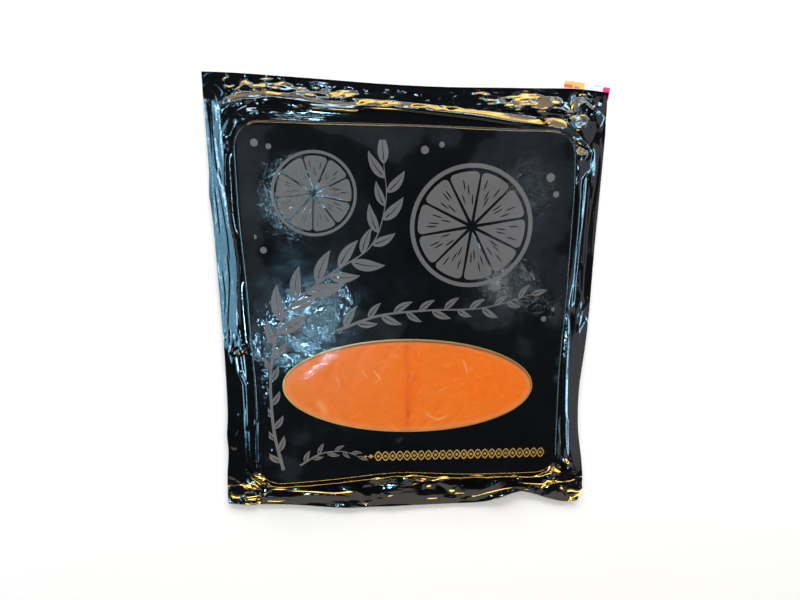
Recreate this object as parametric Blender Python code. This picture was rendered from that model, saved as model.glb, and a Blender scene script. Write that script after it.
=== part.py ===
"""A sealed pack of smoked salmon slices, lying flat with its front up.

A black film pouch (flat back, raised front over the food, a stepped double ridge
and a crimped flange all round) with an oval window. Behind the window lie two
slices of salmon that meet near the middle, closed in by a clear oval of film.
A small sticker is stuck behind the top hem and shows past the upper right corner.

Metres, +Z up, +Y towards the top hem, origin at the middle of the underside.
"""

import math

import bmesh
import bpy
from mathutils import Matrix, Vector

MM = 0.001

# ---- driving dimensions, in millimetres ------------------------------------------
PLATEAU_HALF_X = 99.8  # half width of the raised front
PLATEAU_HALF_Y = 113.2  # half height of the raised front
PLATEAU_RADIUS = 14.5  # its corner radius
PLATEAU_TOP = 8.5  # height of the raised front at its edge
CROWN = 0.5  # how much higher it stands in the middle
OUTLINE_HALF_X = 117.6  # half width of the whole pouch
OUTLINE_HALF_Y = 138.4  # half height of the whole pouch

FILM_WALL = 0.8  # wall of the pouch over the food
GAP = 0.3  # clearance between neighbouring pieces
FLANGE_THICK = 1.1  # sealed flange
FLANGE_LIE = 1.5  # height at which the flange's upper face lies

WINDOW_CENTRE = (-0.3, -47.4)
WINDOW_HALF = (79.6, 31.0)
WINDOW_TILT = math.radians(-1.7)
WINDOW_FILM = 0.5  # thickness of the clear oval

SEAM_X = -1.3  # where the two slices meet
SEAM_DIP = 0.7  # how far their edges fall towards the seam

STICKER = (28.0, 14.0, 0.4)  # width, height, thickness
STICKER_CENTRE = (105.0, 131.4)
STICKER_TILT = math.radians(-6.6)

ARC_STEPS = 6  # points on each rounded corner
STEPS_X = 18  # points along the top and the bottom
STEPS_Y = 22  # points along each side

# Height of the front against the distance outward from the raised front's edge:
# the edge falls to a narrow valley, rises to a second ridge, and runs out to the flange.
PROFILE = (
    (-3.0, PLATEAU_TOP),
    (-1.0, PLATEAU_TOP - 0.1),
    (0.0, PLATEAU_TOP - 0.6),
    (0.9, 6.8),
    (1.8, 5.7),
    (3.0, 5.5),
    (4.4, 6.3),
    (5.4, 5.6),
    (7.0, 3.2),
    (8.6, 2.1),
)
SLOPE_END = PROFILE[-1][0]


# ---- small helpers ---------------------------------------------------------------
def smooth(t):
    t = min(max(t, 0.0), 1.0)
    return t * t * (3 - 2 * t)


def hump(x, centre, width):
    return math.exp(-(((x - centre) / width) ** 2))


def mix(a, b, t):
    return a + (b - a) * t


# ---- how the four edges of the raised front and of the outline wander --------------
def front_edge_shift(x, y):
    """Shift (dx, dy) of the raised front's edge at a point of its nominal rectangle."""
    left = -1.9 * smooth((y - 10) / 60) + 1.7 * hump(y, -50, 45)
    right = -1.4 * hump(y, -40, 45) - 1.5 * hump(y, 110, 25)
    top = -0.029 * x + 0.5 * hump(x, -5, 50)
    bottom = 3.6 * hump(x, -8, 34) - 1.2 * hump(x, -90, 30)
    return (left if x < 0 else right), (top if y > 0 else bottom)


def outline_shift(x, y):
    """Shift (dx, dy) of the pouch's cut edge at a point of its nominal rectangle."""
    left = (
        0.9 * hump(y, -15, 50)
        - 3.9 * smooth((-y - 75) / 60)
        - 1.0 * hump(y, 74, 9)
        - 1.2 * hump(y, -82, 10)
    )
    right = (
        -0.9 * smooth((100 - y) / 70)
        - 2.7 * hump(y, -58, 32)
        + 4.9 * smooth((-y - 78) / 45)
        - 6.0 * hump(y, -142, 9)
    )
    top = 4.2 - 7.4 * smooth((x + 130) / 160) - 2.2 * hump(x, 119, 14)
    bottom = (
        5.6 * smooth((-x - 32) / 66)
        + 2.0 * hump(x, -121, 12)
        + 8.6 * hump(x, 73, 15)
        - 4.2 * hump(x, 104, 12)
        + 1.5 * hump(x, 120, 6)
    )
    return (left if x < 0 else right), (top if y > 0 else bottom)


def flange_waves(x, y):
    """Height of the flange's crimps and curls above its usual height, at the cut edge."""
    side = 0.35 * math.sin(y / 9.5) + 0.3 * math.sin(y / 23.0 + 1.0)
    hem = 0.5 * math.sin(x / 8.0 + 0.6) + 0.35 * math.sin(x / 17.0)
    z = 0.6 + side * smooth((abs(x) - 100) / 10) + hem * smooth((abs(y) - 118) / 8)
    if y < 0:
        z += 4.2 * hump(x, 73, 15) * smooth((-y - 118) / 12)
        z += 2.2 * hump(x, -10, 12) * smooth((-y - 118) / 12)
        z += 1.6 * hump(x, 116, 9) * hump(y, -134, 14)
    else:
        z += 1.3 * hump(x, 108, 26) * hump(y, 134, 16)
    return z


def front_height(x, y):
    """Crown and soft rise and fall of the raised front, zero at its edge."""
    inside = (1 - min(abs(x) / PLATEAU_HALF_X, 1.0) ** 2) * (1 - min(abs(y) / PLATEAU_HALF_Y, 1.0) ** 2)
    ripple = 0.16 * math.sin(x / 21.0 + 0.8) * math.sin(y / 26.0) + 0.1 * math.sin(x / 11.0 - y / 19.0)
    return inside * (CROWN + ripple)


def profile_height(s):
    if s <= PROFILE[0][0]:
        return PROFILE[0][1]
    for (s0, z0), (s1, z1) in zip(PROFILE, PROFILE[1:]):
        if s <= s1:
            return mix(z0, z1, (s - s0) / (s1 - s0))
    return PROFILE[-1][1]


# ---- rings: closed runs of points that follow the rounded front, then the outline ---
def stations():
    """Where the points of every ring sit: (kind, sign x, sign y, fraction or angle)."""
    dx, dy = OUTLINE_HALF_X - PLATEAU_HALF_X + PLATEAU_RADIUS, OUTLINE_HALF_Y - PLATEAU_HALF_Y + PLATEAU_RADIUS
    corner_angle = math.atan2(dy, dx)  # the ray that meets the outline's sharp corner
    half = ARC_STEPS // 2
    arc = [corner_angle * i / half for i in range(half)]
    arc += [mix(corner_angle, math.pi / 2, i / (ARC_STEPS - half)) for i in range(ARC_STEPS - half)]
    out = []
    for sx, sy in ((1, 1), (-1, 1), (-1, -1), (1, -1)):
        if sx == sy:  # this corner runs from the side's end to the top's or bottom's
            out += [("arc", sx, sy, a) for a in arc]
            out += [("top", sx, sy, i / STEPS_X) for i in range(STEPS_X)]
        else:
            out += [("arc", sx, sy, a) for a in [math.pi / 2] + arc[:0:-1]]
            out += [("side", sx, sy, i / STEPS_Y) for i in range(STEPS_Y)]
    return out


STATIONS = stations()


def ring(s, w=0.0):
    """Points (x, y) at distance s outward from the raised front's edge; w runs from
    0 at the foot of its slope to 1 at the pouch's cut edge."""
    half_x, half_y = PLATEAU_HALF_X + s, PLATEAU_HALF_Y + s
    radius = max(PLATEAU_RADIUS + s, 2.0)
    cx, cy = half_x - radius, half_y - radius
    points = []
    for kind, sx, sy, t in STATIONS:
        if kind == "arc":
            x, y = cx + radius * math.cos(t), cy + radius * math.sin(t)
            reach_x, reach_y = OUTLINE_HALF_X - cx, OUTLINE_HALF_Y - cy
            r = min(
                reach_x / max(math.cos(t), 1e-9),
                reach_y / max(math.sin(t), 1e-9),
            )
            ox, oy = cx + r * math.cos(t), cy + r * math.sin(t)
            x, y, ox, oy = sx * x, sy * y, sx * ox, sy * oy
        elif kind == "top":
            x, ox = sx * cx * (1 - 2 * t), sx * cx * (1 - 2 * t)
            y, oy = sy * half_y, sy * OUTLINE_HALF_Y
        else:
            y, oy = sy * cy * (1 - 2 * t), sy * cy * (1 - 2 * t)
            x, ox = sx * half_x, sx * OUTLINE_HALF_X
        x, y = mix(x, ox, w), mix(y, oy, w)
        fx, fy = front_edge_shift(x, y)
        ex, ey = outline_shift(x, y)
        near_x = min(abs(x) / PLATEAU_HALF_X, 1.0) ** 4
        near_y = min(abs(y) / PLATEAU_HALF_Y, 1.0) ** 4
        points.append((x + near_x * mix(fx, ex, w), y + near_y * mix(fy, ey, w)))
    return points


def top_ring(s, w=0.0, lower=0.0):
    """Ring on the pouch's front, or `lower` millimetres below it."""
    points = []
    for x, y in ring(s, w):
        z = profile_height(s) + (front_height(x, y) if s < 0 else 0.0)
        if w > 0:
            z = mix(z, FLANGE_LIE + flange_waves(x, y), smooth(w * 1.6))
        points.append((x, y, z - lower))
    return points


def under_ring(s, w):
    """Ring on the underside of the flange."""
    return [(x, y, max(z - FLANGE_THICK, 0.0)) for x, y, z in top_ring(s, w)]


def flat_ring(s, z):
    return [(x, y, z) for x, y in ring(s)]


def oval_ring(scale, height, grow=0.0, count=64):
    """Ring on an ellipse round the window's centre; height(x, y) gives its z."""
    a, b = WINDOW_HALF[0] + grow, WINDOW_HALF[1] + grow
    points = []
    for i in range(count):
        t = 2 * math.pi * i / count
        u, v = a * scale * math.cos(t), b * scale * math.sin(t)
        x = WINDOW_CENTRE[0] + u * math.cos(WINDOW_TILT) - v * math.sin(WINDOW_TILT)
        y = WINDOW_CENTRE[1] + u * math.sin(WINDOW_TILT) + v * math.cos(WINDOW_TILT)
        points.append((x, y, height(x, y)))
    return points


def loft(name, rings, collection):
    """A closed skin over a run of rings, capped at both ends."""
    bm = bmesh.new()
    loops = [[bm.verts.new(Vector(p) * MM) for p in points] for points in rings]
    for inner, outer in zip(loops, loops[1:]):
        n = len(inner)
        for i in range(n):
            j = (i + 1) % n
            bm.faces.new((inner[i], outer[i], outer[j], inner[j]))
    bm.faces.new(loops[0])
    bm.faces.new(loops[-1][::-1])
    bmesh.ops.triangulate(bm, faces=[f for f in bm.faces if len(f.verts) > 4])
    bmesh.ops.recalc_face_normals(bm, faces=bm.faces)
    mesh = bpy.data.meshes.new(name)
    bm.to_mesh(mesh)
    bm.free()
    obj = bpy.data.objects.new(name, mesh)
    collection.objects.link(obj)
    return obj


def as_cutter(obj):
    obj.hide_render = True
    obj.display_type = "WIRE"


def cut(obj, cutter, name):
    modifier = obj.modifiers.new(name, "BOOLEAN")
    modifier.operation = "DIFFERENCE"
    modifier.solver = "EXACT"
    modifier.object = cutter


def shade(obj, angle):
    obj.data.shade_smooth()
    obj.data.set_sharp_from_angle(angle=math.radians(angle))


def material(name, colour, roughness, metallic=0.0, alpha=1.0):
    mat = bpy.data.materials.new(name)
    mat.use_nodes = True
    shader = mat.node_tree.nodes["Principled BSDF"]
    shader.inputs["Base Color"].default_value = (*colour, 1.0)
    shader.inputs["Roughness"].default_value = roughness
    shader.inputs["Metallic"].default_value = metallic
    shader.inputs["Alpha"].default_value = alpha
    mat.diffuse_color = (*colour, alpha)
    return mat


# ---- clear the scene ---------------------------------------------------------------
for old in list(bpy.data.objects):
    bpy.data.objects.remove(old, do_unlink=True)

pack = bpy.data.collections.new("smoked_salmon_pack")
cutters = bpy.data.collections.new("cutters")
bpy.context.scene.collection.children.link(pack)
bpy.context.scene.collection.children.link(cutters)

# ---- the pouch ----------------------------------------------------------------------
front = [top_ring(s) for s in (-92.0, -78.0, -58.0, -36.0, -20.0, -10.0, -4.0)]
front += [top_ring(s) for s, _ in PROFILE[1:]]
front += [top_ring(SLOPE_END, w) for w in (0.3, 0.65, 1.0)]
back = [under_ring(SLOPE_END, w) for w in (1.0, 0.65, 0.3)]
back += [under_ring(SLOPE_END, 0.0), flat_ring(3.0, 0.0)]
pouch = loft("pouch", front + back, pack)

cavity_rings = [top_ring(s, lower=FILM_WALL) for s in (-92.0, -78.0, -58.0, -36.0, -20.0, -10.0, -3.4)]
cavity_rings += [
    [(x, y, z - FILM_WALL - 1.0) for x, y, z in top_ring(-1.2)],
    flat_ring(-1.2, FILM_WALL),
]
cavity = loft("cavity", cavity_rings, cutters)
as_cutter(cavity)

opening = loft(
    "window_opening",
    [oval_ring(1.0, lambda x, y: 12.0), oval_ring(1.0, lambda x, y: 6.0)],
    cutters,
)
as_cutter(opening)
cut(pouch, cavity, "hollow for the food")
cut(pouch, opening, "oval window")


# ---- the two slices of salmon -------------------------------------------------------
def salmon_slice(name, side):
    """The half of the food on one side of the seam; side is -1 (left) or 1 (right)."""
    inset, drop = -1.2 - GAP, FILM_WALL + GAP
    rings = [top_ring(s, lower=drop) for s in (-92.0, -70.0, -46.0, -24.0, -10.0, -4.2)]
    rings += [
        [(x, y, z - drop - 1.2) for x, y, z in top_ring(inset)],
        flat_ring(inset, drop),
    ]
    obj = loft(name, rings, pack)
    bm = bmesh.new()
    bm.from_mesh(obj.data)
    for offset, clear in ((GAP / 2, True), (1.2, False), (3.0, False)):
        geom = bm.verts[:] + bm.edges[:] + bm.faces[:]
        made = bmesh.ops.bisect_plane(
            bm,
            geom=geom,
            dist=1e-7,
            plane_co=((SEAM_X + side * offset) * MM, 0, 0),
            plane_no=(side, 0, 0),
            clear_inner=clear,
            clear_outer=False,
        )
        if clear:
            edges = [e for e in made["geom_cut"] if isinstance(e, bmesh.types.BMEdge)]
            bmesh.ops.contextual_create(bm, geom=edges)
    for vert in bm.verts:
        away = abs(vert.co.x / MM - SEAM_X)
        if away < 3.1 and vert.co.z > 4 * MM:
            vert.co.z -= SEAM_DIP * MM * (1 - smooth(away / 3.0))
    bmesh.ops.triangulate(bm, faces=[f for f in bm.faces if len(f.verts) > 4])
    bmesh.ops.recalc_face_normals(bm, faces=bm.faces)
    bm.to_mesh(obj.data)
    bm.free()
    return obj


slice_left = salmon_slice("slice_left", -1)
slice_right = salmon_slice("slice_right", 1)


# ---- the clear oval of film that closes the window -----------------------------------
def film_face(x, y):
    return PLATEAU_TOP + front_height(x, y)


film_rings = [oval_ring(k, film_face, -GAP) for k in (0.3, 0.65, 1.0)]
film_rings += [
    oval_ring(k, lambda x, y: film_face(x, y) - WINDOW_FILM, -GAP) for k in (1.0, 0.65, 0.3)
]
window_film = loft("window_film", film_rings, pack)

# ---- the sticker behind the top hem ----------------------------------------------------
bm = bmesh.new()
bmesh.ops.create_cube(bm, size=1.0)
bmesh.ops.scale(bm, vec=Vector(STICKER) * MM, verts=bm.verts)
mesh = bpy.data.meshes.new("back_sticker")
bm.to_mesh(mesh)
bm.free()
sticker = bpy.data.objects.new("back_sticker", mesh)
sticker.matrix_world = Matrix.Translation(
    Vector((STICKER_CENTRE[0], STICKER_CENTRE[1], STICKER[2] / 2)) * MM
) @ Matrix.Rotation(STICKER_TILT, 4, "Z")
pack.objects.link(sticker)

# ---- surfaces ------------------------------------------------------------------------
for piece, angle in ((pouch, 40), (slice_left, 35), (slice_right, 35), (window_film, 35)):
    shade(piece, angle)

pouch.data.materials.append(material("black_film", (0.012, 0.013, 0.016), 0.14))
salmon = material("smoked_salmon", (0.82, 0.22, 0.045), 0.38)
slice_left.data.materials.append(salmon)
slice_right.data.materials.append(salmon)
window_film.data.materials.append(material("clear_film", (0.92, 0.95, 0.97), 0.08, alpha=0.25))
sticker.data.materials.append(material("sticker_paper", (0.9, 0.88, 0.86), 0.6))
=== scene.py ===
import math

import bpy
import numpy as np
from mathutils import Matrix, Vector
from mathutils.geometry import delaunay_2d_cdt


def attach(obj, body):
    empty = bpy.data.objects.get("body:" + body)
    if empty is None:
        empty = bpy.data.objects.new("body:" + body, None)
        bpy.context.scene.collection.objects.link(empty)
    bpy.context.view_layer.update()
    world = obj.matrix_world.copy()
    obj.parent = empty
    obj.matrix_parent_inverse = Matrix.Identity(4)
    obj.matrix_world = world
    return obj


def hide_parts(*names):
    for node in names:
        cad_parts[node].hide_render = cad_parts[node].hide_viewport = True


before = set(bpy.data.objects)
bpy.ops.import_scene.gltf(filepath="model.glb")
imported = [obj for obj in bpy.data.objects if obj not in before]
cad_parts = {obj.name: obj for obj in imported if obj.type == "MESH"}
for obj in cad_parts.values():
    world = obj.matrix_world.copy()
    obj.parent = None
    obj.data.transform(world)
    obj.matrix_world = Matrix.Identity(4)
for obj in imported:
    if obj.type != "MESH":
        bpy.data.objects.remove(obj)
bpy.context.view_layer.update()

MM = 0.001

# =====================================================================================
# Camera: looks down on the lying pack from near its top edge, as the photo's view does
# =====================================================================================
PITCH, ROLL, YAW = 0.25065553, -0.0174383, 0.07249937
RANGE = 0.38
AIM = (-0.0058013, 0.0077354, 0.0)

d0 = Vector((0, -math.sin(PITCH), -math.cos(PITCH)))
u0 = Vector((0, math.cos(PITCH), -math.sin(PITCH)))
r0 = Vector((1, 0, 0))
look = math.cos(YAW) * d0 + math.sin(YAW) * r0
r1 = math.cos(YAW) * r0 - math.sin(YAW) * d0
right = math.cos(ROLL) * r1 + math.sin(ROLL) * u0
up = -math.sin(ROLL) * r1 + math.cos(ROLL) * u0
camera_at = Vector(AIM) - RANGE * look

cam_data = bpy.data.cameras.new("camera")
cam_data.lens = 27.0
cam_data.sensor_width = 36.0
cam_data.clip_start = 0.01
cam_data.clip_end = 20.0
cam = bpy.data.objects.new("camera", cam_data)
cam.matrix_world = Matrix.Translation(camera_at) @ Matrix((right, up, -look)).transposed().to_4x4()
bpy.context.scene.collection.objects.link(cam)
bpy.context.scene.camera = cam

# =====================================================================================
# Sizes shared with the CAD model, in millimetres
# =====================================================================================
PHX, PHY, PRAD = 99.8, 113.2, 14.5  # raised front: half sizes and corner radius
OHX, OHY = 117.6, 138.4  # outline half sizes
SLOPE_END = 8.6
TOP = 8.5
CROWN = 0.5
WINDOW_C = np.array([-0.3, -47.4])
WINDOW_H = (79.6, 31.0)
WINDOW_T = math.radians(-1.7)
SEAM_X = -1.3
FILM = 0.26  # two sealed layers of film, as thick as the flange shows


def smooth(t):
    t = np.clip(t, 0.0, 1.0)
    return t * t * (3 - 2 * t)


def hump(x, centre, width):
    return np.exp(-(((x - centre) / width) ** 2))


def mix(a, b, t):
    return a + (b - a) * t


def zone(v, lo, hi, soft):
    """1 between lo and hi, fading to 0 over soft inside each end."""
    return smooth((v - lo) / soft) * smooth((hi - v) / soft)


def blob(x, y, cx, cy, rx, ry, turn=0.0):
    """Soft oval patch, 1 in its middle."""
    c, s = math.cos(math.radians(turn)), math.sin(math.radians(turn))
    u, v = (x - cx) * c + (y - cy) * s, -(x - cx) * s + (y - cy) * c
    return np.exp(-((u / rx) ** 2) - (v / ry) ** 2)


def seen(points, z):
    """Marks noted on a plane 8 mm up along the camera's sight lines, slid to height z."""
    p = np.asarray(points, float)
    eye = np.array([camera_at.x / MM, camera_at.y / MM])
    return p + (8.0 - z) / (camera_at.z / MM - 8.0) * (p - eye)


# =====================================================================================
# Repeatable noise, in numpy
# =====================================================================================
def lattice(ix, iy, seed):
    h = (ix * 374761393 + iy * 668265263 + seed * 2147483647 + 1013904223) & 0xFFFFFFFF
    h = ((h ^ (h >> 13)) * 1274126177) & 0xFFFFFFFF
    h = ((h ^ (h >> 16)) * 2246822519) & 0xFFFFFFFF
    return ((h ^ (h >> 15)) & 0xFFFFFF) / float(0xFFFFFF)


def noise(x, y, seed=0):
    """Gradient noise, about -0.7 to 0.7."""
    x, y = np.asarray(x, float), np.asarray(y, float)
    ix, iy = np.floor(x).astype(np.int64), np.floor(y).astype(np.int64)
    fx, fy = x - ix, y - iy
    ux, uy = fx * fx * fx * (fx * (fx * 6 - 15) + 10), fy * fy * fy * (fy * (fy * 6 - 15) + 10)

    def corner(dx, dy):
        a = lattice(ix + dx, iy + dy, seed) * 2 * math.pi
        return np.cos(a) * (fx - dx) + np.sin(a) * (fy - dy)

    return mix(mix(corner(0, 0), corner(1, 0), ux), mix(corner(0, 1), corner(1, 1), ux), uy)


def fbm(x, y, octaves, seed, gain=0.5):
    total, amp = 0.0, 1.0
    for k in range(octaves):
        total = total + amp * noise(x * 2**k, y * 2**k, seed + 17 * k)
        amp *= gain
    return total


def ridged(x, y, octaves, seed, gain=0.55):
    """Sharp creases at the zero lines of the noise, 0 to about 1."""
    total, amp, norm = 0.0, 1.0, 0.0
    for k in range(octaves):
        total = total + amp * (1 - np.minimum(np.abs(noise(x * 2**k, y * 2**k, seed + 31 * k)) * 2.4, 1))
        norm += amp
        amp *= gain
    return total / norm


def facets(x, y, size, seed, tilt=0.6, reach=1.6):
    """Crumpled sheet: the highest of many small tilted planes, one for each lattice cell."""
    u, v = x / size, y / size
    iu, iv = np.floor(u).astype(np.int64), np.floor(v).astype(np.int64)
    best = np.full(np.shape(u), -9.0)
    for du in (-1, 0, 1):
        for dv in (-1, 0, 1):
            cu, cv = iu + du, iv + dv
            px = cu + lattice(cu, cv, seed)
            py = cv + lattice(cu, cv, seed + 7)
            gx = (lattice(cu, cv, seed + 13) - 0.5) * 2
            gy = (lattice(cu, cv, seed + 19) - 0.5) * 2
            far = np.maximum(np.hypot(u - px, v - py) - 0.35, 0.0)
            best = np.maximum(best, gx * (u - px) * tilt + gy * (v - py) * tilt - reach * far**1.5)
    return best * size


# =====================================================================================
# The pack's plan: nominal rectangle to real outline
# =====================================================================================
def front_edge_shift(x, y):
    left = -1.9 * smooth((y - 10) / 60) + 1.7 * hump(y, -50, 45)
    right_ = -1.4 * hump(y, -40, 45) - 1.5 * hump(y, 110, 25)
    top = -0.029 * x + 0.5 * hump(x, -5, 50)
    bottom = 3.6 * hump(x, -8, 34) - 1.2 * hump(x, -90, 30)
    return np.where(x < 0, left, right_), np.where(y > 0, top, bottom)


def cut_left(y):
    return 0.9 * hump(y, -15, 50) - 3.9 * smooth((-y - 75) / 60) - 1.0 * hump(y, 74, 9) - 1.2 * hump(y, -82, 10)


def cut_right(y):
    return -0.9 * smooth((100 - y) / 70) - 2.7 * hump(y, -58, 32) + 4.9 * smooth((-y - 78) / 45) - 3.0 * hump(y, -142, 9)


def cut_top(x):
    return 4.2 - 7.4 * smooth((x + 130) / 160) - 2.2 * hump(x, 119, 14)


def cut_bottom(x):
    return (
        5.6 * smooth((-x - 32) / 66)
        + 2.0 * hump(x, -121, 12)
        + 8.2 * hump(x, 77, 16)
        - 2.2 * hump(x, 111, 10)
    )


def outline_shift(x, y):
    return np.where(x < 0, cut_left(y), cut_right(y)), np.where(y > 0, cut_top(x), cut_bottom(x))


def rect_distance(x, y):
    """Signed distance outward from the raised front's nominal edge."""
    qx, qy = np.abs(x) - (PHX - PRAD), np.abs(y) - (PHY - PRAD)
    outside = np.hypot(np.maximum(qx, 0), np.maximum(qy, 0))
    return outside + np.minimum(np.maximum(qx, qy), 0) - PRAD


def plan(x, y):
    """Nominal point to (x, y, s, w): real place, distance outward, and 0 to 1 over the flange."""
    s = rect_distance(x, y)
    wx = (np.abs(x) - (PHX + SLOPE_END)) / (OHX - PHX - SLOPE_END)
    wy = (np.abs(y) - (PHY + SLOPE_END)) / (OHY - PHY - SLOPE_END)
    w = np.clip(np.maximum(wx, wy), 0, 1)
    fx, fy = front_edge_shift(x, y)
    ex, ey = outline_shift(x, y)
    near_x = np.minimum(np.abs(x) / PHX, 1.0) ** 4
    near_y = np.minimum(np.abs(y) / PHY, 1.0) ** 4
    return x + near_x * mix(fx, ex, w), y + near_y * mix(fy, ey, w), s, w


def unplan(x, y):
    """Real point to nominal point."""
    u, v = np.array(x, float), np.array(y, float)
    for _ in range(8):
        px, py, _, _ = plan(u, v)
        u, v = u + x - px, v + y - py
    return u, v


# =====================================================================================
# The front's height
# =====================================================================================
def crown(x, y):
    inside = (1 - np.minimum(np.abs(x) / PHX, 1.0) ** 2) * (1 - np.minimum(np.abs(y) / PHY, 1.0) ** 2)
    ripple = 0.16 * np.sin(x / 21.0 + 0.8) * np.sin(y / 26.0) + 0.1 * np.sin(x / 11.0 - y / 19.0)
    return inside * (CROWN + ripple)


def ramp(s, a, b, soft):
    """0 before a, 1 after b, straight between, its two bends rounded over about soft."""
    def bend(t):
        return 0.5 * (t + np.sqrt(t * t + soft * soft))
    return (bend(s - a) - bend(s - b)) / (b - a)


def step_down(s, a, b, soft, foot):
    """0 before a, 1 after b; eased at the top, sharper at the foot."""
    top = 0.5 * (s - a + np.sqrt((s - a) ** 2 + soft * soft))
    return (top - 0.5 * (s - b + np.sqrt((s - b) ** 2 + foot * foot))) / (b - a)


def tent(t, blunt):
    """1 at 0, falling to 0 at 1, with a blunted crest and a soft foot."""
    a = np.sqrt(t * t + blunt * blunt)
    return np.where(a < 1, (1 - a) * (1 - 0.25 * a), 0.0)


def crease(z, x, y, points, level, height, left, right_=None, taper=0.12, blunt=0.26):
    """Adds a fold along a line of marks. Widths are to the left and right of its run, in
    millimetres; its height tapers off over the first and last part of its length."""
    right_ = left if right_ is None else right_
    line = seen(points, level)
    reach = max(left, right_)
    lo, hi = line.min(axis=0) - reach, line.max(axis=0) + reach
    near = np.nonzero((x > lo[0]) & (x < hi[0]) & (y > lo[1]) & (y < hi[1]))[0]
    if not len(near):
        return
    px, py = x[near], y[near]
    steps = np.hypot(*np.diff(line, axis=0).T)
    total, run = steps.sum(), 0.0
    best = np.full(len(near), 1e9)
    side = np.zeros(len(near))
    along = np.zeros(len(near))
    for (x0, y0), (x1, y1), length in zip(line, line[1:], steps):
        ux, uy = (x1 - x0) / length, (y1 - y0) / length
        t = np.clip((px - x0) * ux + (py - y0) * uy, 0, length)
        dx, dy = px - x0 - t * ux, py - y0 - t * uy
        d = np.hypot(dx, dy)
        closer = d < best
        best = np.where(closer, d, best)
        side = np.where(closer, np.sign(ux * dy - uy * dx), side)
        along = np.where(closer, (run + t) / total, along)
        run += length
    width = np.where(side > 0, left, right_)
    ends = smooth(along / taper) * smooth((1 - along) / taper) if taper > 0 else 1.0
    z[near] += height * tent(best / width, blunt / width) * ends


def corner_share(x, y):
    """How much a point belongs to the top or bottom edge rather than to a side, 0 to 1."""
    ex = np.maximum(np.abs(x) - (PHX - PRAD), 0.0)
    ey = np.maximum(np.abs(y) - (PHY - PRAD), 0.0)
    return smooth((np.degrees(np.arctan2(ey, ex + 1e-9)) - 28.0) / 34.0)


def along(v, marks):
    """Value at v from (position, value) marks, with the bends eased."""
    at, value = np.array(marks, float).T
    return sum(np.interp(v + d, at, value) for d in (-5, -2.5, 0, 2.5, 5)) / 5


def edge_roundness(x, y):
    """The raised front's edge: crisp where it is dark, rounder where it carries a bright line."""
    share = corner_share(x, y)
    top = 0.26 * zone(x, -66, -6, 9) + 0.30 * zone(x, 22, 74, 12)
    bottom = 0.12 * smooth((x + 32) / 14)
    left = 0.13 * zone(y, -8, 74, 16) + 0.30 * zone(y, -100, -30, 8)
    right_ = 0.26 * zone(y, 14, 74, 14) + 0.30 * zone(y, -100, -6, 10)
    return 0.03 + share * np.where(y > 0, top, bottom) + (1 - share) * np.where(x > 0, right_, left)


def base_z(x, y, s, w):
    """Raised front, narrow valley, second ridge, slope and flange, before any fold.
    x and y are nominal; each side of the pack runs out in its own way."""
    share = corner_share(x, y)
    top, bottom = share * (y > 0), share * (y <= 0)
    left, right_ = (1 - share) * (x <= 0), (1 - share) * (x > 0)
    z = TOP + np.where(s < 0, crown(x, y), 0.0) - 3.05 * step_down(s, -0.1, 0.72, edge_roundness(x, y), 0.04)
    crest = along(x, [(-104, 13.8), (-91, 14.8), (-82, 15.4), (-72, 14.2), (-60, 12.0), (-51, 10.9), (-33, 10.7), (-10, 10.2),
                      (9, 8.8), (30, 7.5), (43, 6.4), (60, 4.4), (80, 3.6), (95, 3.6)])
    run = along(x, [(-104, 2.8), (43, 2.6), (58, 4.2), (95, 4.4)])
    warm = run * along(x, [(-104, 0.45), (-2, 0.45), (16, 0.55), (50, 0.56), (62, 0.54), (95, 0.53)])
    pale = along(x, [(-104, 0.5), (-55, 0.6), (40, 0.6), (62, 0.2), (95, 0.12)])
    z_top = (z - 0.15 * ramp(s, 1.5, 3.2, 0.8) + 1.0 * ramp(s, crest - 2.0, crest - 0.6, 0.3)
             - pale * ramp(s, crest, crest + pale / 0.375, 0.25)
             - warm * ramp(s, crest + pale / 0.375, crest + pale / 0.375 + run, 0.25) - 0.4 * ramp(s, crest + 5.2, 27, 2.0))
    end = 6.2 + smooth((x + 24) / 12) * (1.6 * noise(x / 13, y * 0, 91) - 0.4)
    z_bottom = z - 3.0 * ramp(s, 0.7, end, 0.12) - 0.3 * ramp(s, 6.6, 24, 2.0)
    z_right = z - 0.1 * ramp(s, 1.3, 3.4, 0.8) - mix(2.2 * ramp(s, 6.0, 18, 1.5), 2.0 * ramp(s, 4.6, 7.2, 0.5) + 0.3 * ramp(s, 8, 20, 2.0),
                                                     smooth((y + 6) / 14))
    z_upper = (z - 0.15 * ramp(s, 1.4, 3.2, 0.8) + 0.7 * ramp(s, 3.4, 6.3, 0.7) - 1.0 * ramp(s, 6.9, 8.9, 0.35)
               - 2.5 * ramp(s, 8.9, 17.8, 0.9))
    z_lower = (z - 0.15 * ramp(s, 1.4, 3.2, 0.8) - 2.2 * ramp(s, 5.4, 8.6, 0.5) - 0.9 * ramp(s, 9, 18, 2.0))
    z_left = mix(z_lower, z_upper, smooth((y + 27) / 9))
    return top * z_top + bottom * z_bottom + left * z_left + right_ * z_right


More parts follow.
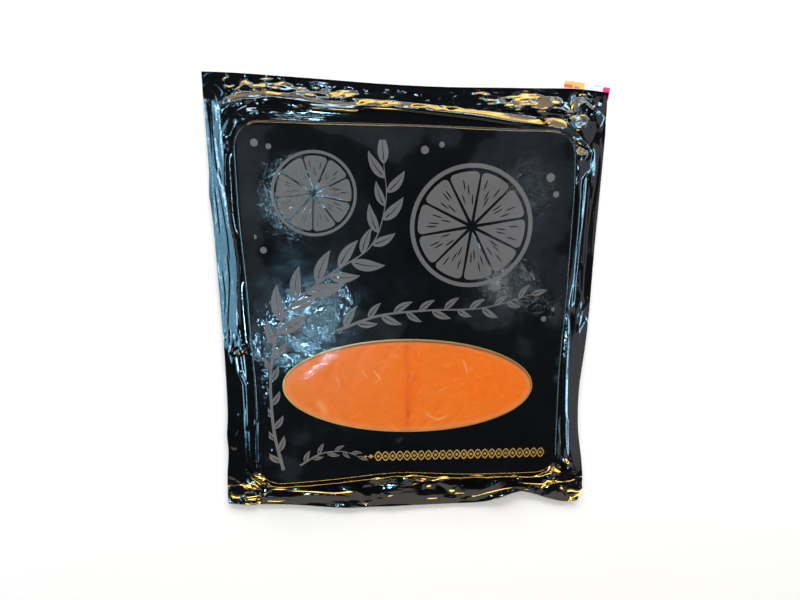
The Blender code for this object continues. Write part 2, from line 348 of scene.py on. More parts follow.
FOLDS = [
    # (marks, level, height, width left of the run, width right of it, taper)
    # ---- right side, running down
    ([(100.8, -3), (101.7, -14), (101.7, -26.4), (102.2, -45.7), (103.5, -69.3), (104.8, -82), (106.5, -95), (109.3, -107)],
     6.0, 0.85, 2.5, 1.9, 0.06, 0.3),
    ([(109, 9), (107.5, 3), (105.6, -2.9)], 5.0, 0.56, 2.2, 2.4, 0.2),
    ([(113, -4), (110.2, -9), (107.8, -13.6)], 4.0, 0.5, 1.4, 1.4, 0.2),
    ([(115, 8), (112, 3), (109, 1)], 3.5, 0.5, 1.6, 1.8, 0.2),
    ([(116, 1), (113, 0.5), (110, 0)], 3.5, 0.43, 1.2, 1.4, 0.2),
    ([(114.5, -9), (112.5, -4.5), (110, -1.5)], 3.5, 0.43, 1.4, 1.4, 0.2),
    # ---- left side, running down
    ([(-112.5, 91.4), (-110, 82), (-107.8, 72.6), (-107.6, 60), (-105.6, 37), (-105.1, 15.7), (-106.2, -7.9)], 6.0, 0.84, 1.9, 1.9, 0.06),
    ([(-111.5, 60), (-110.6, 40), (-111.8, 18), (-110.9, -4)], 4.0, 0.49, 1.5, 1.7, 0.15),
    ([(-110.5, -24.5), (-106, -21.5), (-100.8, -17)], 5.0, 0.84, 1.6, 1.6, 0.12),
    ([(-110.5, -16.4), (-112, -21.8), (-110.5, -30.4)], 4.0, 0.63, 1.4, 1.4, 0.15),
    ([(-108.3, -22.9), (-107.3, -35.7), (-104, -44.3), (-104, -55), (-104.6, -70), (-105.2, -76)], 6.0, 0.91, 1.9, 1.9, 0.06),
]


def flange_relief(x, y, nx_, ny_, s, w):
    """Crimps, wrinkles and curls of the flange: x and y are the real place, nx_ and ny_
    the nominal one. Millimetres to add to the height."""
    h_top = OHY + cut_top(nx_) - y
    h_bottom = y + OHY - cut_bottom(nx_)
    h_left = x + OHX - cut_left(ny_)
    h_right = OHX + cut_right(ny_) - x
    out = np.zeros(np.shape(x))
    # top hem: flat crumples, larger to the right
    band = zone(h_top, 2.0, 13.5, 2.5) * smooth((y - 118) / 6) * smooth((x + 116) / 4)
    out += band * 0.16 * facets(x * 0.9, y, 6.0, 5, tilt=0.9)
    # left: long upright wrinkles
    side = smooth((h_left + 0.5) / 2.0) * smooth((11.5 - h_left) / 3.0) * smooth((130 - y) / 10) * (x < -90)
    upper = smooth((y + 22) / 10)
    out += side * upper * 0.2 * ridged(x / 4.6 + 0.4 * noise(x / 9, y / 22, 3), y / 30.0, 1, 31)
    out += side * upper * 0.3 * facets(x * 1.3, y * 0.55, 3.4, 33, tilt=0.9) * (0.2 + 0.8 * smooth((60 - y) / 40))
    out += side * (1 - upper) * 0.03 * ridged(x / 6.0, y / 30.0, 1, 37)
    # right: long upright wrinkles above, nearly smooth below
    side = smooth((h_right + 0.5) / 2.0) * smooth((11.0 - h_right) / 3.0) * (x > 90)
    above = smooth((y - 4) / 12) * smooth((122 - y) / 8)
    out += side * above * 0.04 * ridged(x / 4.8 + 0.3 * noise(x / 9, y / 26, 6), y / 52.0, 1, 53)
    out += side * smooth((2 - y) / 12) * smooth((y + 112) / 8) * 0.12 * ridged(x / 7.0, y / 36.0, 1, 57)
    # bottom: broad flat crumples between smooth stretches
    deep = smooth((h_bottom + 0.5) / 2.0) * smooth((18.5 - h_bottom) / 4.0) * (y < -105)
    left_ = smooth((-x - 90) / 8)
    middle = zone(x, -34, 42, 9)
    end = smooth((x - 90) / 7)
    out += deep * 0.24 * left_ * facets(x, y, 9.5, 61, tilt=0.9)
    out += deep * 0.11 * middle * facets(x * 0.8, y, 8.5, 67, tilt=1.0)
    out += deep * 0.28 * end * facets(x, y, 10.0, 83, tilt=0.9)
    out += deep * 0.22 * (1 - left_) * (1 - middle) * (1 - end) * fbm(x / 15, y / 9, 2, 89) * 2
    # curls of the cut edge
    out += 3.0 * hump(x, 73, 13) * smooth((-y - 118) / 10) * smooth((h_bottom + 2) / 3)
    out += 1.2 * hump(x, -10, 12) * smooth((-y - 120) / 10)
    out += 0.9 * hump(x, 108, 18) * hump(y, 134, 10)
    out += 0.35 * np.sin(x / 9.0 + 0.6) * smooth((np.abs(y) - 124) / 8)
    return out


def worms(z, x, y, seed, count, spot, length, wander, width, height, lean=None):
    """Short crooked creases scattered over an area; spot(u, v) gives the place for two numbers from 0 to 1."""
    rng = np.random.default_rng(seed)
    for _ in range(count):
        at = np.array(spot(*rng.random(2)), float)
        way = rng.uniform(0, 2 * math.pi) if lean is None else lean + rng.uniform(-0.5, 0.5)
        run = [at]
        for _ in range(rng.integers(3, 6)):
            way += rng.uniform(-wander, wander)
            at = at + rng.uniform(0.5, 1.0) * length / 3.5 * np.array([math.cos(way), 0.8 * math.sin(way)])
            run.append(at)
        w_ = width * rng.uniform(0.75, 1.3)
        crease(z, x, y, run, 8.0, height * rng.uniform(0.6, 1.25), w_, w_ * rng.uniform(0.9, 1.6), 0.2, 0.08)


LEAN = {  # slope along x and along y that turns a face to one of the studio lights
    "pale": (0.0, -0.378), "brown": (0.0, -0.475), "gold": (0.0, -0.62), "blue": (0.42, 0.0), "cyan": (-0.435, 0.0),
    "lilac": (-0.2, 0.0), "amber": (0.0, 0.34), "umber": (0.0, 0.1), "ember": (0.0, 0.36), "glow": (0.0, 0.29), "flat": (0.0, 0.0),
}
STROKES = [
    # (lean, marks, width): creases as lines; width 0 means the face inside the corners
    # top left
    ("brown", [(-104.5, 128.4), (-96.1, 130.2), (-88.3, 130.4), (-83.3, 131.2)], 1.52),
    ("brown", [(-79.4, 131.0), (-72.7, 130.4), (-64.9, 129.6), (-59.4, 127.9), (-49.2, 126.3), (-32.2, 125.4)], 1.78),
    ("pale", [(-108.2, 123.6), (-106.4, 125.3), (-102.4, 127.0), (-96.2, 128.4), (-88.4, 128.7), (-83.4, 129.7), (-80.0, 129.7), (-73.9, 129.0), (-66.1, 128.2), (-61.1, 126.3), (-56.1, 124.8), (-49.3, 124.5), (-41.3, 124.0), (-32.2, 123.6)], 1.85),
    ("pale", [(-101.1, 130.9), (-93.8, 131.7), (-88.3, 131.4)], 0.63),
    ("pale", [(-87.2, 131.7), (-82.7, 132.0)], 0.76),
    ("gold", [(-82.5, 132.2), (-78.8, 131.4), (-74.4, 130.6)], 0.63),
    ("flat", [(-122.5, 144.0), (-107.0, 142.0), (-105.5, 133.5), (-108.5, 129.0), (-113.0, 127.5), (-121.5, 130.5)], 0),
    ("blue", [(-117.2, 135.1), (-114.4, 136.8), (-111.1, 136.2), (-108.9, 134.3), (-106.8, 132.0)], 1.01),
    ("blue", [(-116.5, 139.8), (-114.6, 141.2), (-112.0, 141.8)], 0.63),
    ("blue", [(-111.9, 126.4), (-110.1, 123.2), (-109.5, 119.1), (-109.3, 113.6), (-109.0, 108.2), (-108.0, 102.6), (-108.5, 92.0)], 0.76),
    ("blue", [(-112.5, 126.6), (-113.1, 119.1), (-113.0, 111.4), (-113.2, 104.8), (-112.9, 97.1), (-111.2, 90.3)], 0.76),
    ("gold", [(-112.3, 131.9), (-111.0, 130.3), (-110.6, 129.1)], 0.76),
    ("gold", [(-105.5, 138.5), (-103.8, 139.6)], 0.76),
    ("gold", [(-105.2, 135.2), (-102.5, 134.3), (-100.2, 135.1)], 0.76),
    ("gold", [(-98.7, 133.1), (-96.4, 134.7), (-95.1, 137.4), (-93.4, 137.9), (-92.2, 136.1)], 0.63),
    ("gold", [(-91.3, 136.3), (-89.2, 134.2), (-87.8, 135.5)], 0.76),
    ("gold", [(-84.2, 134.8), (-83.5, 138.3), (-82.1, 139.4), (-79.6, 138.8)], 0.63),
    ("gold", [(-77.6, 133.8), (-75.8, 136.5), (-72.4, 137.4), (-69.1, 136.0)], 0.63),
    ("gold", [(-69.1, 135.5), (-68.8, 131.2), (-67.3, 131.4)], 0.63),
    ("gold", [(-63.6, 134.4), (-61.4, 132.1), (-59.3, 130.7), (-56.1, 130.2)], 0.89),
    ("pale", [(-60.9, 131.5), (-57.2, 132.1)], 0.63),
    ("gold", [(-54.1, 134.5), (-55.2, 131.8), (-57.0, 130.4)], 0.63),
    ("gold", [(-50.2, 133.3), (-47.7, 133.9), (-48.4, 131.3), (-45.7, 130.3)], 0.63),
    ("gold", [(-46.9, 128.6), (-44.6, 131.4), (-42.9, 131.9), (-42.1, 128.7)], 0.63),
    ("gold", [(-40.6, 132.5), (-38.3, 133.0), (-37.6, 129.8), (-39.0, 128.8)], 0.76),
    ("gold", [(-37.7, 133.8), (-35.7, 130.9), (-34.2, 129.8), (-32.4, 132.7)], 0.76),
    ("pale", [(-99.5, 121.3), (-96.0, 123.3), (-92.9, 124.6), (-91.8, 120.9)], 0.63),
    ("pale", [(-99.5, 120.2), (-96.6, 118.7)], 0.63),
    ("pale", [(-89.9, 123.3), (-88.6, 121.3)], 0.63),
    ("pale", [(-83.6, 125.2), (-81.0, 122.5), (-82.4, 119.9), (-77.8, 119.3), (-68.7, 118.9), (-59.7, 118.4), (-49.5, 118.0)], 0.63),
    ("pale", [(-70.3, 121.7), (-68.5, 123.5), (-64.0, 123.9), (-62.4, 122.1)], 0.63),
    # top right
    ("brown", [(74.4, 127.3), (78.1, 130.6), (83.7, 131.0), (83.6, 125.1), (79.2, 123.8), (75.5, 124.2)], 0),
    ("gold", [(70.9, 131.6), (74.5, 131.9), (79.0, 130.8)], 0.76),
    ("gold", [(74.3, 124.2), (77.4, 123.2), (80.6, 124.3)], 0.63),
    ("gold", [(83.8, 130.3), (84.8, 127.7), (85.8, 124.3)], 0.76),
    ("pale", [(85.4, 131.2), (87.5, 128.8), (87.6, 124.8)], 0.76),
    ("pale", [(88.5, 128.1), (91.3, 127.5), (93.5, 125.0), (94.6, 122.8)], 1.14),
    ("gold", [(88.3, 124.3), (91.2, 123.2), (93.7, 121.6)], 0.76),
    ("brown", [(95.6, 125.5), (97.7, 129.7), (101.5, 130.9), (100.0, 126.9), (99.7, 122.4), (97.6, 121.8)], 0),
    ("gold", [(100.6, 121.2), (100.6, 125.2), (101.4, 128.5), (102.5, 130.7)], 0.63),
    ("gold", [(95.3, 121.4), (96.0, 124.4), (97.7, 127.3)], 0.63),
    ("brown", [(103.1, 130.2), (105.6, 128.5), (109.0, 124.4), (108.2, 122.6), (105.2, 126.3)], 0),
    ("pale", [(103.7, 130.7), (106.7, 128.9), (109.5, 125.1)], 0.63),
    ("lilac", [(108.3, 129.4), (117.6, 129.4), (117.8, 121.1), (114.4, 121.6), (110.8, 123.8), (109.1, 126.3)], 0),
    ("brown", [(109.7, 126.9), (113.6, 128.3), (115.2, 126.3), (111.9, 124.4)], 0),
    ("cyan", [(110.4, 121.3), (114.4, 121.0), (116.6, 119.0), (115.2, 115.0), (114.1, 113.5)], 0.89),
    ("brown", [(95.5, 117.2), (98.7, 119.7), (105.5, 120.1), (106.9, 117.9), (104.0, 114.1), (98.8, 113.0)], 0),
    ("gold", [(95.2, 118.0), (97.1, 119.4), (100.5, 120.1), (104.8, 120.3)], 0.51),
    ("brown", [(82.6, 116.5), (88.1, 116.6), (92.5, 115.0), (93.4, 112.8), (88.3, 113.1), (84.1, 114.2)], 0),
    ("gold", [(81.1, 117.5), (85.5, 118.0), (90.4, 117.2), (94.5, 115.0), (96.9, 112.1), (98.5, 109.6), (102.1, 107.3), (106.1, 103.5), (109.3, 99.2)], 1.14),
    ("gold", [(83.4, 114.1), (87.1, 113.0), (92.0, 111.8), (95.9, 108.9), (97.9, 105.9)], 0.76),
    ("pale", [(84.7, 111.8), (89.7, 110.9), (93.7, 109.1), (96.1, 106.4)], 0.51),
    ("lilac", [(101.8, 111.9), (109.1, 112.4), (111.2, 108.7), (108.5, 103.8), (104.9, 105.8)], 0),
    ("pale", [(99.0, 112.8), (104.1, 113.3), (108.1, 112.5)], 1.01),
    ("brown", [(100.3, 102.0), (104.2, 100.1), (108.5, 98.3), (104.2, 96.8), (101.9, 97.1)], 0),
    ("gold", [(100.0, 102.7), (103.9, 100.6), (108.7, 98.5)], 0.63),
    ("gold", [(100.4, 101.5), (101.9, 97.3), (106.4, 97.1)], 0.63),
    ("pale", [(100.6, 95.7), (105.7, 93.6), (109.1, 97.1)], 0.76),
    ("lilac", [(101.2, 94.7), (105.7, 93.0), (109.0, 95.7), (109.7, 90.0), (106.2, 86.5), (102.2, 90.0)], 0),
    ("cyan", [(100.8, 93.0), (103.3, 88.6), (106.2, 86.2)], 0.63),
    ("cyan", [(106.8, 88.8), (110.3, 91.8), (111.2, 86.5)], 0.63),
    ("gold", [(40.2, 132.2), (43.1, 132.7), (44.4, 130.3)], 0.63),
    ("gold", [(42.3, 129.4), (46.1, 128.1), (47.6, 125.6)], 0.63),
    ("gold", [(53.6, 129.5), (56.8, 126.6), (58.3, 124.1)], 0.76),
    ("gold", [(55.0, 129.7), (59.2, 130.6)], 0.63),
    ("gold", [(58.2, 127.0), (59.3, 124.2)], 0.63),
    ("gold", [(62.6, 131.1), (64.6, 129.2), (64.6, 126.1), (63.1, 124.2)], 1.01),
    ("gold", [(66.9, 132.2), (66.7, 129.3), (69.0, 126.0)], 0.63),
    ("gold", [(68.1, 132.4), (71.1, 131.0), (71.9, 127.1), (73.4, 124.2)], 0.63),
    ("gold", [(71.5, 131.6), (73.3, 128.3), (75.9, 125.4)], 0.63),
    # right
    ("cyan", [(107.7, 83.0), (107.8, 76.3), (107.7, 64.2), (107.1, 51.8), (105.7, 42.5), (104.8, 33.0), (105.1, 23.3)], 1.11),
    ("cyan", [(105.1, 23.3), (103.4, 15.2), (102.4, 7.1), (102.1, -2.9), (103.3, -13.0)], 0.95),
    ("lilac", [(102.9, 89.4), (102.9, 79.3), (104.2, 70.3)], 0.95),
    ("lilac", [(110.2, 76.3), (110.2, 65.7), (109.7, 47.1), (110.0, 31.3)], 0.95),
    ("lilac", [(108.1, 24.1), (109.1, 13.5), (113.0, 4.9)], 0.95),
    ("lilac", [(114.3, 92.7), (113.8, 79.3), (112.1, 64.1), (111.2, 50.2), (111.7, 37.6), (111.2, 23.2), (111.6, 11.0)], 0.95),
    ("lilac", [(115.1, 105.8), (117.7, 91.2), (116.8, 76.3), (115.6, 58.0), (115.8, 39.2)], 1.27),
    ("gold", [(101.8, 1.6), (104.8, 0.2), (107.4, -1.5), (110.2, -0.4), (112.1, 0.4)], 1.27),
    ("cyan", [(111.7, -3.9), (110.2, -9.8), (110.8, -13.1)], 0.79),
    # left
    ("blue", [(-118.1, 127.8), (-116.5, 126.5), (-115.9, 116.4), (-115.5, 102.6), (-114.6, 92.8), (-113.8, 88.6), (-116.8, 85.8), (-117.1, 97.1), (-117.4, 110.9), (-117.7, 120.4)], 0),
    ("blue", [(-116.6, 88.6), (-113.7, 89.3), (-111.3, 80.0), (-108.2, 65.5), (-105.5, 41.6), (-105.7, 15.4), (-107.2, -8.5), (-116.7, -8.3), (-116.2, 23.4), (-116.5, 59.7)], 0),
    ("flat", [(-113.4, 120.5), (-113.8, 110.9), (-113.6, 98.5), (-112.6, 88.6)], 0.79),
    ("flat", [(-114.9, 121.8), (-115.0, 109.5), (-115.1, 97.1)], 0.63),
    ("flat", [(-112.7, 80.0), (-110.8, 65.5), (-109.3, 50.7), (-108.8, 35.6)], 0.79),
    ("flat", [(-115.1, 78.6), (-114.3, 65.6), (-113.9, 50.8)], 0.63),
    ("flat", [(-110.1, 38.7), (-109.7, 23.3), (-111.5, 7.6), (-113.1, -5.1)], 0.95),
    ("flat", [(-114.0, 29.5), (-113.3, 14.0), (-114.5, 1.3)], 0.79),
    ("blue", [(-112.4, 106.8), (-111.8, 95.7), (-109.8, 84.3), (-108.3, 72.8), (-107.8, 59.6), (-105.8, 46.2), (-105.0, 35.5), (-105.2, 23.2)], 0.95),
    ("blue", [(-110.7, 129.9), (-109.0, 123.2), (-108.8, 117.8), (-109.3, 106.8), (-108.8, 98.5), (-108.5, 92.1)], 0.79),
    ("brown", [(-107.9, 105.4), (-104.1, 105.0), (-105.4, 102.1), (-107.1, 103.2)], 0),
    # bottom left
    ("flat", [(-119.5, -67.0), (-110.5, -67.0), (-108.8, -100.0), (-109.0, -116.0), (-117.5, -116.0)], 0),
    ("umber", [(-97.5, -127.1), (-79.6, -127.9), (-68.9, -126.6), (-47.4, -128.2), (-36.7, -134.8), (-50.3, -135.4), (-69.1, -132.4), (-86.5, -132.5), (-99.8, -132.7)], 0),
    ("ember", [(-93.8, -120.2), (-89.9, -121.4), (-83.3, -121.8), (-79.4, -123.1), (-63.5, -124.7), (-50.1, -126.4), (-41.7, -125.7)], 1.3),
    ("ember", [(-41.7, -124.5), (-36.6, -125.9), (-31.2, -129.3), (-22.4, -133.4)], 1.2),
    ("ember", [(-45.4, -126.5), (-38.0, -128.9), (-33.3, -132.5), (-29.7, -135.8)], 1.2),
    ("glow", [(-110.6, -125.6), (-107.1, -126.0), (-100.4, -124.8), (-100.0, -127.3), (-103.4, -130.0), (-108.6, -129.1), (-111.4, -127.6)], 0),
    ("flat", [(-108.5, -127.5), (-105.5, -127.3), (-102.8, -126.8)], 0.51),
    ("ember", [(-106.5, -115.6), (-102.9, -116.9), (-99.9, -120.0), (-98.5, -123.1), (-97.3, -125.0)], 1.1),
    ("amber", [(-104.4, -120.1), (-99.7, -121.2)], 0.63),
    ("amber", [(-101.4, -132.7), (-99.6, -128.5), (-98.5, -124.0)], 0.76),
    ("pale", [(-96.1, -118.6), (-95.0, -121.2), (-96.7, -123.5)], 0.76),
    ("pale", [(-91.9, -120.3), (-95.0, -121.2)], 0.63),
    ("amber", [(-95.7, -130.2), (-87.8, -131.2), (-80.7, -129.4)], 0.63),
    ("amber", [(-112.6, -72.7), (-111.7, -77.5), (-114.0, -82.3), (-112.6, -85.2), (-114.6, -87.4)], 0.63),
    ("amber", [(-116.7, -89.1), (-115.3, -91.4), (-113.5, -90.1)], 0.63),
    ("amber", [(-114.3, -87.7), (-112.7, -94.4), (-113.8, -99.6)], 0.63),
    ("amber", [(-116.2, -111.9), (-114.3, -115.5)], 0.51),
    ("amber", [(-111.8, -117.1), (-109.9, -120.5)], 0.51),
    ("blue", [(-107.0, -69.5), (-106.9, -78.0), (-106.8, -86.6), (-107.3, -98.1), (-105.2, -102.9)], 0.76),
    ("blue", [(-98.8, -69.8), (-99.9, -78.2), (-100.6, -88.2), (-100.5, -98.4), (-98.9, -106.7)], 0.89),
    ("blue", [(-90.2, -90.1), (-92.5, -94.6), (-96.0, -98.6), (-98.2, -103.8)], 0.63),
    ("blue", [(-92.5, -89.3), (-95.0, -93.1), (-97.0, -91.6)], 0.63),
    ("pale", [(-108.2, -107.2), (-103.8, -110.9), (-98.7, -113.2)], 0.51),
    ("amber", [(-19.4, -121.8), (-15.1, -120.2), (-10.7, -116.8)], 0.63),
    ("amber", [(-22.2, -116.6), (-17.5, -120.1)], 0.51),
    ("amber", [(-26.9, -137.2), (-20.4, -135.8), (-9.4, -133.0)], 0.63),
    ("umber", [(-29.9, -135.3), (-23.1, -132.6), (-9.4, -130.1), (-9.4, -136.3), (-23.1, -138.0)], 0),
    ("pale", [(-47.3, -132.9), (-41.5, -134.6), (-37.4, -136.0)], 0.76),
    ("amber", [(-33.7, -135.0), (-29.9, -136.4)], 0.89),
    # bottom right
    ("umber", [(-4.6, -126.5), (2.2, -122.2), (7.8, -130.1), (21.6, -132.3), (32.8, -134.4), (34.3, -138.4), (14.8, -137.9), (-12.8, -136.9), (-12.8, -132.3)], 0),
    ("umber", [(31.1, -122.3), (42.4, -127.1), (52.1, -127.5), (61.7, -121.8), (67.2, -119.4), (75.7, -122.4), (84.5, -129.0), (94.1, -134.9), (90.6, -135.8), (76.0, -128.0), (64.8, -129.0), (52.4, -135.6), (45.4, -135.6), (38.3, -130.3)], 0),
    ("amber", [(-9.8, -130.9), (-6.0, -124.9), (-2.4, -118.9), (0.7, -117.0)], 0.89),
    ("amber", [(0.7, -117.3), (1.0, -122.1), (0.2, -126.1), (-1.9, -124.5)], 0.76),
    ("amber", [(3.6, -115.9), (5.8, -118.7), (9.1, -119.8), (10.7, -117.1)], 0.76),
    ("amber", [(12.9, -118.1), (16.6, -119.9), (20.3, -118.4), (25.0, -117.7)], 0.63),
    ("amber", [(14.0, -122.1), (16.8, -125.3), (15.2, -126.5)], 0.63),
    ("amber", [(25.2, -118.0), (28.3, -119.1), (32.6, -126.6), (35.8, -130.2)], 0.63),
    ("flat", [(26.9, -119.9), (29.2, -123.4), (30.9, -122.7), (29.0, -118.8)], 0),
    ("amber", [(32.0, -136.2), (35.0, -132.3), (38.5, -129.7)], 1.14),
    ("amber", [(34.9, -129.7), (39.4, -130.2)], 0.76),
    ("amber", [(41.6, -130.8), (44.2, -133.4), (47.0, -132.9)], 0.76),
    ("amber", [(6.4, -130.8), (8.9, -133.0)], 0.76),
    ("amber", [(27.2, -134.1), (28.9, -136.1)], 0.76),
    ("amber", [(12.7, -133.5), (20.3, -133.5)], 0.51),
    ("amber", [(48.1, -132.6), (56.4, -130.2), (64.8, -127.9), (73.1, -126.6), (83.1, -129.2), (90.8, -134.4), (97.9, -139.0)], 0.51),
    ("amber", [(47.5, -114.3), (64.3, -117.4), (81.2, -119.5), (92.4, -119.3), (98.8, -116.3)], 0.76),
    ("amber", [(97.8, -115.3), (101.0, -120.4)], 0.63),
    ("amber", [(75.7, -120.8), (78.9, -123.5), (84.3, -124.5), (96.0, -125.8), (103.0, -124.5), (112.9, -124.0), (120.9, -120.6)], 0.63),
    ("umber", [(91.3, -135.2), (107.5, -131.9), (114.0, -139.8), (106.7, -141.7), (98.0, -140.3)], 0),
    ("amber", [(107.2, -128.5), (110.7, -133.6), (114.8, -138.9)], 0.63),
    ("amber", [(102.2, -138.9), (107.3, -140.1)], 0.63),
    ("amber", [(121.8, -128.8), (120.4, -133.1), (118.5, -135.6), (115.6, -137.3)], 1.01),
    ("cyan", [(104.1, -103.1), (101.6, -107.5), (99.1, -113.5), (97.3, -120.6)], 0.76),
    ("cyan", [(104.1, -103.1), (107.5, -108.7), (109.7, -113.1), (105.2, -119.3), (101.1, -122.3)], 0.89),
    ("cyan", [(101.3, -111.5), (104.6, -114.4), (107.8, -111.8)], 0.51),
    ("cyan", [(106.5, -105.3), (109.4, -110.8)], 0.63),
    ("cyan", [(101.0, -76.7), (102.0, -85.6), (103.4, -93.4)], 0.89),
    ("cyan", [(106.4, -76.9), (106.5, -85.8), (108.8, -99.3), (110.9, -107.9)], 0.76),
    ("lilac", [(109.9, -77.0), (114.7, -77.2), (120.2, -115.0), (116.5, -118.3), (110.8, -99.4)], 0),
    ("pale", [(117.0, -122.0), (121.7, -121.6)], 0.76),
]


def line_mask(x, y, marks, width):
    """1 on a line through the marks (or inside them for width 0), easing to 0 at its sides."""
    marks = np.array(marks)
    out = np.zeros(x.shape)
    lo, hi = marks.min(axis=0) - width - 1, marks.max(axis=0) + width + 1
    near = np.nonzero((x > lo[0]) & (x < hi[0]) & (y > lo[1]) & (y < hi[1]))
    px, py = x[near], y[near]
    ends = np.roll(marks, -1, axis=0) if width == 0 else marks[1:]
    d = np.full(px.shape, 1e9)
    odd = np.zeros(px.shape, bool)
    for (x0, y0), (x1, y1) in zip(marks, ends):
        ex, ey = x1 - x0, y1 - y0
        t = np.clip(((px - x0) * ex + (py - y0) * ey) / (ex * ex + ey * ey + 1e-9), 0, 1)
        d = np.minimum(d, np.hypot(px - x0 - t * ex, py - y0 - t * ey))
        if width == 0 and y0 != y1:
            odd ^= ((y0 > py) != (y1 > py)) & (px < x0 + (py - y0) * ex / (y1 - y0))
    if width == 0:
        out[near] = np.where(odd, smooth((d + 0.3) / 0.6), 0.0)
    else:
        out[near] = smooth((width / 2 + 0.2 - d) / 0.4)
    return out


def settle(z, x, y, calm):
    """Lets the film take the strokes' slopes and spread what is left over into its surroundings."""
    leanx, leany, mask = np.zeros(z.shape), np.zeros(z.shape), np.zeros(z.shape)
    for kind, marks, width in STROKES:
        width = max(width, 0.8) if width else 0
        m = line_mask(x, y, marks, width)
        keen = {"pale": 0.45, "brown": 0.0, "ember": 0.0}.get(kind, 0.35)  # a thin crease is blurred by its own two sides
        keen = 1.0 + keen * math.exp(-width / 0.9) * (width > 0)
        leanx, leany = mix(leanx, LEAN[kind][0] * keen, m), mix(leany, LEAN[kind][1] * keen, m)
        mask = np.maximum(mask, m)
    pulls = []
    for axis in (0, 1):
        a = (slice(None, -1), slice(None)) if axis == 0 else (slice(None), slice(None, -1))
        b = (slice(1, None), slice(None)) if axis == 0 else (slice(None), slice(1, None))
        m = (mask[a] + mask[b]) / 2
        step = ((leanx[a] + leanx[b]) * (x[b] - x[a]) + (leany[a] + leany[b]) * (y[b] - y[a])) / 2 / np.maximum(m, 1e-6)
        pulls.append((a, b, 1.0 + 45.0 * m, m * (step - (z[b] - z[a]))))

    def spread(u):
        out = calm * u
        for a, b, weight, _ in pulls:
            f = weight * (u[b] - u[a])
            out[b] += f
            out[a] -= f
        return out

    rest = np.zeros(z.shape)
    for a, b, weight, want in pulls:
        rest[b] += weight * want
        rest[a] -= weight * want
    u = np.zeros(z.shape)
    way, size = rest.copy(), (rest * rest).sum()
    for _ in range(400):
        pushed = spread(way)
        step = size / (way * pushed).sum()
        u += step * way
        rest -= step * pushed
        size, last = (rest * rest).sum(), size
        way = rest + size / last * way
    return z + u


def grid_lines(inner, outer, coarse, fine):
    """Coordinates from -outer to outer, fine in the two bands beyond inner."""
    n_in = int(round(2 * inner / coarse))
    n_out = int(round((outer - inner) / fine))
    edge = np.linspace(inner, outer, n_out + 1)
    return np.concatenate([-edge[::-1], np.linspace(-inner, inner, n_in + 1)[1:-1], edge])


RX, RY = 92.0, 105.0
gx = grid_lines(RX, OHX, 1.15, 0.37)
gy = grid_lines(RY, OHY, 1.15, 0.37)
GX, GY = np.meshgrid(gx, gy)
NXF, NYF = GX.ravel(), GY.ravel()
PX, PY, S, W = plan(NXF, NYF)
PZ = base_z(NXF, NYF, S, W)
PZ += flange_relief(PX, PY, NXF, NYF, S, W)
for marks, *rest in FOLDS:
    crease(PZ, PX, PY, marks, *rest)
worms(PZ, PX, PY, 303, 16, lambda u, v: (-32 + 78 * u, 136.4 - 1.4 * u - 2.4 - 7.0 * v), 6.0, 1.1, 0.7, 0.38)
worms(PZ, PX, PY, 305, 6, lambda u, v: (-16 + 56 * u, -117 - 5 * v), 5.5, 1.2, 0.75, 0.24)
worms(PZ, PX, PY, 306, 5, lambda u, v: (-20 + 50 * u, -127 - 3 * v), 4.0, 1.2, 0.75, 0.24)
nx, ny = len(gx), len(gy)
PZ2 = settle(PZ.reshape(ny, nx), PX.reshape(ny, nx), PY.reshape(ny, nx), np.where(S < 0.8, 1.0, mix(0.035, 0.010, smooth((PX - 52) / 14) * smooth((PY - 92) / 10))).reshape(ny, nx))
PZ = PZ2.ravel()
PZ = np.where(S > 4, np.maximum(PZ, 0.45 + 0.12 * np.tanh(PZ - 0.45)), PZ)
PZ2 = PZ.reshape(ny, nx)


def film_height(x, y):
    """Height of the finished front at a real point, read from the grid."""
    u, v = unplan(x, y)
    i = np.clip(np.searchsorted(gx, u) - 1, 0, nx - 2)
    j = np.clip(np.searchsorted(gy, v) - 1, 0, ny - 2)
    fu = np.clip((u - gx[i]) / (gx[i + 1] - gx[i]), 0, 1)
    fv = np.clip((v - gy[j]) / (gy[j + 1] - gy[j]), 0, 1)
    return mix(mix(PZ2[j, i], PZ2[j, i + 1], fu), mix(PZ2[j + 1, i], PZ2[j + 1, i + 1], fu), fv)

# =====================================================================================
# Printed shapes, as outlines in real millimetres on the front
# =====================================================================================
GREY, GOLD = [], []  # closed outlines, each a list of (x, y)
BARE = []  # left unprinted inside the grey


def arc(cx, cy, r, a0, a1, count):
    return [(cx + r * math.cos(t), cy + r * math.sin(t)) for t in np.linspace(a0, a1, count)]


def band_ring(cx, cy, r0, r1, parts=6, count=14):
    """A ring, as sectors that share their ends."""
    for k in range(parts):
        a0, a1 = 2 * math.pi * k / parts, 2 * math.pi * (k + 1) / parts
        GREY.append(arc(cx, cy, r1, a0, a1, count) + arc(cx, cy, r0, a1, a0, count))


def rounded_wedge(cx, cy, r0, r1, a0, a1, corner):
    """One juicy segment of a citrus wheel: narrow near the middle, round at its outer corners."""
    points = [(cx + r0 * math.cos((a0 + a1) / 2), cy + r0 * math.sin((a0 + a1) / 2))]
    da = corner / r1
    for t in np.linspace(0, 1, 5):  # outer corner
        a = a0 + da * (1 - math.cos(t * math.pi / 2))
        r = r1 - corner * (1 - math.sin(t * math.pi / 2))
        points.append((cx + r * math.cos(a), cy + r * math.sin(a)))
    points += arc(cx, cy, r1, a0 + da, a1 - da, 8)[1:-1]
    for t in np.linspace(1, 0, 5):
        a = a1 - da * (1 - math.cos(t * math.pi / 2))
        r = r1 - corner * (1 - math.sin(t * math.pi / 2))
        points.append((cx + r * math.cos(a), cy + r * math.sin(a)))
    return points


